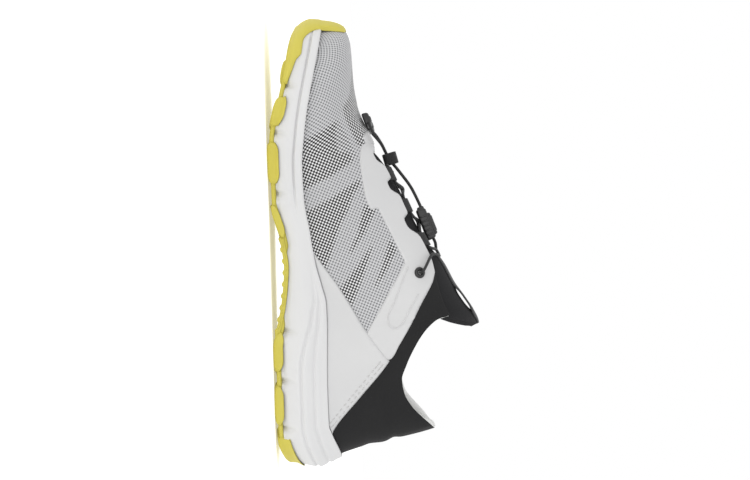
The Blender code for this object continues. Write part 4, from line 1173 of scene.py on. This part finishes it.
def layStitches(mesh, line, normals):
    for a, b, n in zip(line[:-1], line[1:], normals):
        ahead = Vector(b - a).normalized()
        up = Vector(n).normalized()
        across = ahead.cross(up).normalized()
        turn = Matrix((across, ahead, up)).transposed().to_4x4()
        size = Matrix.Diagonal((stitchLook["radius"], stitchLook["long"] / 2, stitchLook["radius"], 1.0))
        middle = Matrix.Translation(Vector(toFrame((a + b) / 2)))
        place = middle @ turn @ Matrix.Scale(0.001, 4) @ size
        bmesh.ops.create_icosphere(mesh, subdivisions=1, radius=1.0, matrix=place)


def makeStitches():
    mesh = bmesh.new()
    edge = np.array(quarterLook["rearEdge"][1:4])
    inward = np.array(stitchLook["inward"])
    for side in (1, -1):
        for inset in stitchLook["insets"]:
            flat = routeThrough(edge + inward * inset, stitchLook["pitch"])
            spots = onUpper(flat, side)
            line = shellAt(spots[:, 0], side, spots[:, 1], quarterLook["lifts"][1] + 0.1)
            layStitches(mesh, line, upperNormal(spots[:, 0], np.full(len(spots), side), spots[:, 1]))
    return finishPiece("quarter_stitches", mesh, [threadCloth])


makeStitches()
print("stitches made")


# collar lining: a padded white roll inside the collar, then flat down to the insole

liningLook = {
    "start": 13.62,
    "columns": 120,
    "profile": (  # down from the collar edge, inward
        (0.3, 1.4), (0.1, 2.8), (0.8, 4.8), (3.0, 6.6), (7.0, 7.4),
        (12.0, 6.9), (18.0, 5.6), (26.0, 4.1), (36.0, 3.0), (48.0, 2.5),
    ),
    "thick": 0.9,
}


def makeLining():
    stations, sides = roundHeel(np.linspace(liningLook["start"], 20, liningLook["columns"] + 1))
    rises = np.linspace(0, 1, 81)
    section = upperAt(stations[:, None], sides[:, None], rises[None, :])
    steps = np.linalg.norm(np.diff(section[:, ::-1], axis=1), axis=-1)
    down = np.concatenate((np.zeros((len(section), 1)), np.cumsum(steps, 1)), 1)
    drops, inwards = np.array(liningLook["profile"]).T
    fine = np.linspace(0, len(drops) - 1, 40)
    drops = smoothThrough(np.arange(len(drops)), drops, fine)
    inwards = smoothThrough(np.arange(len(inwards)), inwards, fine)
    rows = np.stack([np.interp(drops, line, rises[::-1]) for line in down])
    ends = np.clip(np.minimum(np.arange(len(stations)), np.arange(len(stations))[::-1]) / 8, 0.25, 1)
    s = np.broadcast_to(stations[:, None], rows.shape)
    d = np.broadcast_to(sides[:, None], rows.shape)
    depth = 1.4 + (inwards[None, :] - 1.4) * ends[:, None]
    points = upperAt(s, d, rows) - upperNormal(s, d, rows) * depth[..., None]
    points[..., 2] += np.where(drops[None, :] < 1.0, 0.25, 0.0)
    mesh = bmesh.new()
    gridInto(mesh, points)
    piece = finishPiece("collar_lining", mesh, [lining], outward=False)
    addWall(piece, liningLook["thick"])
    return piece


makeLining()
print("lining made")


# tongue and its pull strap

tongueColumns = ("along", "crest", "half", "drop")
tongueRows = (
    (217.5, 62.8, 17.0, 5.5), (210.0, 66.6, 19.5, 8.0),
    (204.0, 71.6, 21.5, 11.5), (197.0, 76.6, 23.0, 13.0),
    (188.0, 82.0, 23.6, 14.2), (172.0, 89.4, 23.6, 14.6),
    (155.0, 97.4, 24.0, 15.0), (144.0, 104.0, 24.6, 17.0),
    (134.0, 112.0, 25.4, 21.5), (119.0, 119.8, 26.0, 23.8),
    (109.0, 126.2, 26.0, 26.5), (101.0, 131.4, 24.6, 26.5),
    (97.0, 133.6, 23.6, 20.0), (94.0, 134.6, 21.0, 9.0), (92.0, 134.8, 15.0, 3.0),
)
tongueLook = {"columns": 150, "rows": 48, "thick": 3.0, "power": 2.2, "stripHalf": 7.6}
strapLook = {
    "from": 92.4, "to": 139.0, "half": 7.3, "thick": 1.0, "lift": 0.75,
    "slitAlong": 108.5, "slitHalf": 8.0,
}
tongueAt = reader(tongueRows, tongueColumns)


def tonguePoint(along, share, lift=0.0):
    drop = tongueAt("drop", along) * np.abs(share) ** tongueLook["power"]
    across = share * tongueAt("half", along)
    return np.stack(matched(along, across, tongueAt("crest", along) - drop + lift), -1)


def slitShare(along):
    # where the strap stands off the tongue, so that a finger goes under it
    return hump(along - strapLook["slitAlong"], strapLook["slitHalf"], 4)


def makeTongue():
    along = np.linspace(tongueRows[-1][0], tongueRows[0][0], tongueLook["columns"] + 1)[:, None]
    share = np.linspace(-1, 1, tongueLook["rows"] + 1)[None, :]
    across = share * tongueAt("half", along)
    # here a shallow dip along the seams of the middle strip, shaped in the surface; no colour is painted
    seamDipAndShade = hump(np.abs(across) - tongueLook["stripHalf"], 0.9)
    strapGap = slitShare(along) * hump(across, 10.0)
    swell = 0.5 * np.cos(across / tongueLook["stripHalf"] * math.pi) * np.clip((140 - along) / 10, 0, 1)
    points = tonguePoint(along, share, -0.5 * seamDipAndShade - 2.3 * strapGap + swell * 0.4)
    mesh = bmesh.new()
    gridInto(mesh, points)
    piece = finishPiece("tongue_pad", mesh, [tongueCloth], ["tongue"], outward=False)
    addWall(piece, tongueLook["thick"], rounding=1.1, segments=3)
    return piece


def makeStrap():
    along = np.linspace(strapLook["from"], strapLook["to"], 60)[:, None]
    across = np.linspace(-strapLook["half"], strapLook["half"], 13)[None, :]
    share = across / tongueAt("half", along)
    points = tonguePoint(along, share, strapLook["lift"])
    drop = tongueAt("drop", along) * np.abs(share) ** tongueLook["power"]
    points[..., 2] += slitShare(along) * (0.8 * drop + 0.5)
    mesh, cloth = clothMesh()
    gridInto(mesh, points, [(cloth, points)])
    piece = finishPiece("tongue_strap", mesh, [strapCloth], outward=False)
    addWall(piece, strapLook["thick"], rounding=0.3)
    return piece


makeTongue()
makeStrap()
print("tongue made")


# lacing, on the part's routes with small moves

laceLook = {
    "radius": 0.95,
    "loopAlong": {"front": 192.5, "middle": 171.5, "rear": 149.0},
    "loopAcross": 13.0,
    "loopLift": 2.0,
    "loopWidth": 9.5,
    "loopRadius": 1.7,
    "loopThick": 0.8,
    "crossLift": 2.2,
    "joinAlong": 141.5,
    "eyeletAlong": 127.0,
    "eyeletRise": 0.83,
}
lockLook = {
    "along": 159.0, "height": 103.0, "size": (22.0, 14.0, 9.0), "tilt": 20.0,
    "ribs": 5, "hole": 3.2,  # each cord hole lies this far from the middle
}


def throatEdge(along, side):
    tabs = sorted((row for row in topRows if 120 < row[1] < 200 and row[3] < 20.5), key=lambda row: row[1])
    keys = [row[1] for row in tabs]
    half = smoothThrough(keys, [row[3] for row in tabs], along)
    height = smoothThrough(keys, [row[4] for row in tabs], along)
    return np.array((along, side * float(half), float(height)))


def throatSlope(along):
    return math.atan2(throatEdge(along - 6, 1)[2] - throatEdge(along + 6, 1)[2], 12.0)


def overTongue(along, across, lift):
    return tonguePoint(along, across / float(tongueAt("half", along)), lift)


def loopPlace(key, end, side):
    at = laceLook["loopAlong"][key]
    slope = throatSlope(at)
    along = at + end * (laceLook["loopWidth"] / 2 + 1.3) * math.cos(slope)
    height = throatEdge(at, side)[2] + laceLook["loopLift"] - (along - at) * math.tan(slope)
    return (along, side * (laceLook["loopAcross"] - 0.2), height)


def eyeletPlace(side, lift):
    station = 11.0
    while upperAt(station, side, laceLook["eyeletRise"])[0] > laceLook["eyeletAlong"]:
        station += 0.01
    normal = upperNormal(station, float(side), laceLook["eyeletRise"])
    return upperAt(station, side, laceLook["eyeletRise"]) + normal * lift, normal


def laceStrand(side):
    keys = ("front", "middle", "rear")
    route = [overTongue(laceLook["loopAlong"]["front"] + 1.2, 0.0, laceLook["crossLift"])]
    now = side
    for k, key in enumerate(keys):
        route.append(loopPlace(key, 1, now))
        route.append(loopPlace(key, -1, now))
        if k < 2:
            middle = (laceLook["loopAlong"][key] + laceLook["loopAlong"][keys[k + 1]]) / 2
            route.append(overTongue(middle, 0.0, laceLook["crossLift"] + 0.5 * side))
            now = -now
    route.append(overTongue(laceLook["joinAlong"], now * 1.6, laceLook["crossLift"] + 0.3))
    route.append(overTongue(laceLook["joinAlong"] - 4.0, -now * 9.0, laceLook["crossLift"] + 0.8))
    end, normal = eyeletPlace(-now, 1.3)
    edge = upperAt(11.8, -now, 1.0) + upperNormal(11.8, float(-now), 0.97) * (laceLook["radius"] + 1.4)
    route.append(edge + (0.0, 0.0, 0.8))
    route.append(end + normal * 2.6)
    route.append(end + normal * 0.4)
    return routeThrough(route, 1.2)


def lockHole(side, ahead):
    # a place on one of the lock's two cord holes, ahead of the lock's middle
    tilt = math.radians(lockLook["tilt"])
    along = lockLook["along"] + ahead * math.cos(tilt)
    return (along, side * lockLook["hole"], lockLook["height"] - ahead * math.sin(tilt))


def lockTail(side):
    # from the rear of the lock to the join
    join = overTongue(laceLook["joinAlong"], side * 1.6, laceLook["crossLift"] + 0.3)
    start = lockHole(side, 1.0 - lockLook["size"][0] / 2)
    middle = (145.6, side * 3.0, (start[2] + join[2]) / 2 + 0.7)
    return routeThrough([start, middle, join], 1.2)


def makeCrossings():
    mesh, layer = clothMesh()
    for side in (1, -1):
        sweepTube(mesh, laceStrand(side), laceLook["radius"], layer)
        sweepTube(mesh, lockTail(side), laceLook["radius"], layer)
    return finishPiece("lace_crossed", mesh, [braid], ["lace_crossings"])


def makeLoop(key, side, name):
    # webbing bent round the lace, both legs under the tab
    at = laceLook["loopAlong"][key]
    edge = throatEdge(at, side)
    slope = throatSlope(at)
    centre = np.array((laceLook["loopAcross"], edge[2] + laceLook["loopLift"]))
    r = laceLook["loopRadius"]
    under = np.array((edge[1] * side + 0.2, edge[2] - 2.3))
    tail = under + (3.4, -4.2)
    turns = np.radians(np.linspace(52, 236, 13))
    bend = [centre + r * np.array((math.cos(a), math.sin(a))) for a in turns]
    route = [tail + (0.5, 0.5), under + (0.3, 0.4)] + bend + [under + (-0.3, -0.5), tail]
    profile = routeThrough(route, 0.6)
    width = np.linspace(-laceLook["loopWidth"] / 2, laceLook["loopWidth"] / 2, 7)
    mesh, layer = clothMesh()
    points = np.zeros((len(profile), len(width), 3))
    points[..., 0] = at + width[None, :] * math.cos(slope)
    points[..., 1] = side * profile[:, :1]
    points[..., 2] = profile[:, 1:] - width[None, :] * math.sin(slope)
    run = np.stack(np.broadcast_arrays(np.arange(len(profile))[:, None] * 0.6, width[None, :], 0.0), -1)
    gridInto(mesh, points, [(layer, run)])
    piece = finishPiece(name + "_strap", mesh, [webbing], [name], outward=False)
    addWall(piece, laceLook["loopThick"], offset=0.0, rounding=0.2)
    return piece


eyeletLook = {  # the profile is radius and height
    "profile": ((1.3, -1.2), (1.3, 0.5), (1.7, 1.0), (2.6, 1.15), (3.4, 0.8), (3.7, 0.2), (3.7, -0.9)),
    "steps": 32,
    "lift": 0.9,
}


def makeEyelet(name, side):
    place, normal = eyeletPlace(side, eyeletLook["lift"])
    mesh = bmesh.new()
    turn = Vector(normal).to_track_quat("Z", "Y").to_matrix().to_4x4()
    corners = [mesh.verts.new((a * 0.001, 0, b * 0.001)) for a, b in eyeletLook["profile"]]
    edges = [mesh.edges.new(pair) for pair in zip(corners, corners[1:])]
    bmesh.ops.spin(
        mesh, geom=corners + edges, axis=(0, 0, 1), angle=2 * math.pi,
        steps=eyeletLook["steps"], use_merge=True,
    )
    bmesh.ops.transform(mesh, verts=mesh.verts, matrix=Matrix.Translation(Vector(toFrame(place))) @ turn)
    return finishPiece(name + "_ring", mesh, [nylon], [name])


makeCrossings()
for key in laceLook["loopAlong"]:
    for side, sideName in ((1, "medial"), (-1, "lateral")):
        makeLoop(key, side, "lace_loop_" + key + "_" + sideName)
makeEyelet("eyelet_medial", 1)
makeEyelet("eyelet_lateral", -1)
print("lacing made")


# cord lock, keeper and pull bar

keeperLook = {"along": 201.0, "size": (7.6, 17.0, 9.4), "tilt": 15.0, "strap": 1.3}
pullLook = {
    "along": 226.5, "across": 0.6, "size": (8.6, 29.0, 4.6),
    "lift": 2.7, "slope": 0.40, "yaw": 13.0,
}


def addBlock(mesh, size, offset, taper, rounding, segments=3):
    made = bmesh.ops.create_cube(mesh, size=1.0)["verts"]
    bmesh.ops.scale(mesh, verts=made, vec=Vector(size) * 0.001)
    for corner in made:
        if corner.co.z > 0:
            corner.co.x *= taper
            corner.co.y *= taper
    bmesh.ops.translate(mesh, verts=made, vec=Vector(offset) * 0.001)
    edges = list({edge for corner in made for edge in corner.link_edges})
    bmesh.ops.bevel(
        mesh, geom=edges, offset=rounding * 0.001, segments=segments,
        profile=0.5, affect="EDGES", material=-1,
    )


def makeLock():
    mesh = bmesh.new()
    long, wide, high = lockLook["size"]
    addBlock(mesh, (long, wide, high * 0.72), (0, 0, -high * 0.1), 0.94, 1.5)  # body
    addBlock(mesh, (long * 0.72, wide * 0.74, 2.0), (-1.0, 0, high * 0.34), 0.9, 0.7)  # cap
    addBlock(mesh, (3.4, wide * 0.62, high * 0.5), (long / 2 - 0.6, 0, -0.6), 1.0, 0.8)  # button
    for side in (1, -1):
        for k in range(lockLook["ribs"]):
            place = (-7.4 + k * 3.2, side * (wide / 2 - 0.2), -0.9)
            addBlock(mesh, (1.1, 1.0, high * 0.5), place, 1.0, 0.35, 2)
    addBlock(mesh, (long * 0.5, wide * 0.5, 0.8), (-1.0, 0, high * 0.46), 0.94, 0.35, 2)  # raised field
    turn = Matrix.Rotation(math.radians(lockLook["tilt"]), 4, "Y")
    place = Matrix.Translation(Vector(toFrame((lockLook["along"], 0.0, lockLook["height"]))))
    bmesh.ops.transform(mesh, verts=mesh.verts, matrix=place @ turn)
    return finishPiece("lock_body", mesh, [nylon], ["cord_lock"])


def makeKeeper():
    slope = math.radians(keeperLook["tilt"])
    crest = tonguePoint(keeperLook["along"], 0.0)
    lift = 1.3 + keeperLook["size"][2] / 2
    centre = (crest[0] + lift * math.sin(slope), 0.0, crest[2] + lift * math.cos(slope))
    long, wide, high = keeperLook["size"]
    # a closed band of webbing, its section a rounded box seen along the shoe
    turns = np.linspace(0, 2 * math.pi, 41)
    power = 0.45
    across = np.sign(np.cos(turns)) * np.abs(np.cos(turns)) ** power * (wide - keeperLook["strap"]) / 2
    up = np.sign(np.sin(turns)) * np.abs(np.sin(turns)) ** power * (high - keeperLook["strap"]) / 2
    width = np.linspace(-long / 2, long / 2, 7)
    points = np.zeros((len(turns), len(width), 3))
    points[..., 0] = centre[0] + width[None, :] * math.cos(slope) + up[:, None] * math.sin(slope)
    points[..., 1] = across[:, None]
    points[..., 2] = centre[2] - width[None, :] * math.sin(slope) + up[:, None] * math.cos(slope)
    run = np.stack(np.broadcast_arrays(width[None, :], turns[:, None] * 6.0, 0.0), -1)
    mesh, layer = clothMesh()
    gridInto(mesh, points, [(layer, run)])
    piece = finishPiece("keeper_band", mesh, [webbing], ["lace_keeper"], outward=False)
    addWall(piece, keeperLook["strap"], offset=0.0, rounding=0.3)
    return np.array(centre)


def makePull():
    ridge = upperAt(6.8, 1, 1.0)
    slope = math.atan(pullLook["slope"])
    centre = np.array((
        pullLook["along"], pullLook["across"],
        ridge[2] + (ridge[0] - pullLook["along"]) * pullLook["slope"] + pullLook["lift"],
    ))
    long, wide, high = pullLook["size"]
    mesh = bmesh.new()
    addBlock(mesh, (long * 0.7, wide * 0.5, high * 0.7), (0, 0, -0.2), 1.0, 0.6)  # core
    for side in (1, -1):
        addBlock(mesh, (long, wide * 0.47, high), (0, side * wide * 0.265, 0), 0.86, 1.5)
        addBlock(mesh, (2.2, wide * 0.32, 1.0), (0, side * wide * 0.26, high / 2), 0.9, 0.4, 2)
    place = Matrix.Translation(Vector(toFrame(centre)))
    yaw = Matrix.Rotation(math.radians(-pullLook["yaw"]), 4, "Z")
    bmesh.ops.transform(mesh, verts=mesh.verts, matrix=place @ Matrix.Rotation(slope, 4, "Y") @ yaw)
    piece = finishPiece("pull_bar", mesh, [nylon], ["pull_tab"])
    return piece, centre


def makeRun(name, side, keeperCentre, pullCentre):
    start = lockHole(side, lockLook["size"][0] / 2 + 0.5)
    pullEnd = pullLook["size"][1] / 2 + laceLook["radius"] + 0.5
    route = [
        start,
        (183.0, side * 3.4, 93.0),
        (195.0, side * 3.4, 84.6),
        (keeperCentre[0], side * 3.4, keeperCentre[2] - 0.8),
        (212.5, side * 6.2, 74.0),
        (217.5, side * 14.5 + pullCentre[1], 70.6),
        (221.0, side * pullEnd + pullCentre[1], pullCentre[2] + 2.2),
        (pullCentre[0], side * (pullEnd - 1.0) + pullCentre[1], pullCentre[2] + 0.4),
    ]
    line = routeThrough(route, 1.2)
    mesh, layer = clothMesh()
    sweepTube(mesh, line, laceLook["radius"], layer)
    piece = finishPiece(name + "_cord", mesh, [braid], [name])


makeLock()
keeperCentre = makeKeeper()
pullBar, pullCentre = makePull()
makeRun("lace_run_medial", 1, keeperCentre, pullCentre)
makeRun("lace_run_lateral", -1, keeperCentre, pullCentre)
print("lock, keeper, pull bar made")


# floor, light, camera: the photo looks at the inner side with the toe up, so the camera is rolled

stageLook = {
    "floor": "#fcfcfb", "glow": 0.32, "world": 1.0,
    "lean": 1.56, "distance": 1.4, "frameWide": 491.0, "centreUp": 68.0, "centreAhead": 1.0,
    "lamps": (  # name, place, size, power
        ("key", (0.05, 1.7, 0.45), 0.9, 4.0),
        ("top", (-0.1, 0.5, 1.7), 1.2, 1.5),
        ("rear", (-0.6, -1.3, 1.0), 1.4, 1.5),
    ),
}


def makeStage():
    mesh = bmesh.new()
    bmesh.ops.create_grid(mesh, x_segments=2, y_segments=2, size=6.0)
    data = bpy.data.meshes.new("floor")
    mesh.to_mesh(data)
    mesh.free()
    # opal acrylic, lit a little from below as a packshot table, so that the contact shadow stays soft
    material = newMaterial("opal_acrylic", {
        "Roughness": 0.8, "Base Color": hexColour(stageLook["floor"]),
        "Emission Color": hexColour(stageLook["floor"]), "Emission Strength": stageLook["glow"],
    })[0]
    data.materials.append(material)
    floor = bpy.data.objects.new("floor", data)
    scene.collection.objects.link(floor)
    world = bpy.data.worlds.new("studio")
    world.use_nodes = True
    world.node_tree.nodes["Background"].inputs["Color"].default_value = (1.0, 1.0, 1.0, 1.0)
    world.node_tree.nodes["Background"].inputs["Strength"].default_value = stageLook["world"]
    scene.world = world
    for name, place, size, power in stageLook["lamps"]:
        lamp = bpy.data.lights.new(name, "AREA")
        lamp.size = size
        lamp.energy = power
        holder = bpy.data.objects.new(name, lamp)
        holder.location = place
        holder.rotation_euler = (Vector((0, 0, 0.05)) - Vector(place)).to_track_quat("-Z", "Y").to_euler()
        scene.collection.objects.link(holder)


def makeCamera():
    lens = bpy.data.cameras.new("camera")
    lens.sensor_fit = "HORIZONTAL"
    lens.sensor_width = 36.0
    lens.lens = 36.0 * stageLook["distance"] * 1000 / stageLook["frameWide"]
    lens.clip_start = 0.05
    lens.clip_end = 50
    camera = bpy.data.objects.new("camera", lens)
    lean = math.radians(stageLook["lean"])
    up = Vector((math.cos(lean), 0, math.sin(lean)))
    right = Vector((-math.sin(lean), 0, math.cos(lean)))
    back = Vector((0, 1, 0))
    turn = Matrix((right, up, back)).transposed()
    ahead, height = stageLook["centreAhead"] * 0.001, stageLook["centreUp"] * 0.001
    place = Matrix.Translation((ahead, stageLook["distance"] + 0.02, height))
    camera.matrix_world = place @ turn.to_4x4()
    scene.collection.objects.link(camera)
    scene.camera = camera


makeStage()
makeCamera()
scene.view_settings.view_transform = "Standard"
print("stage and camera made")
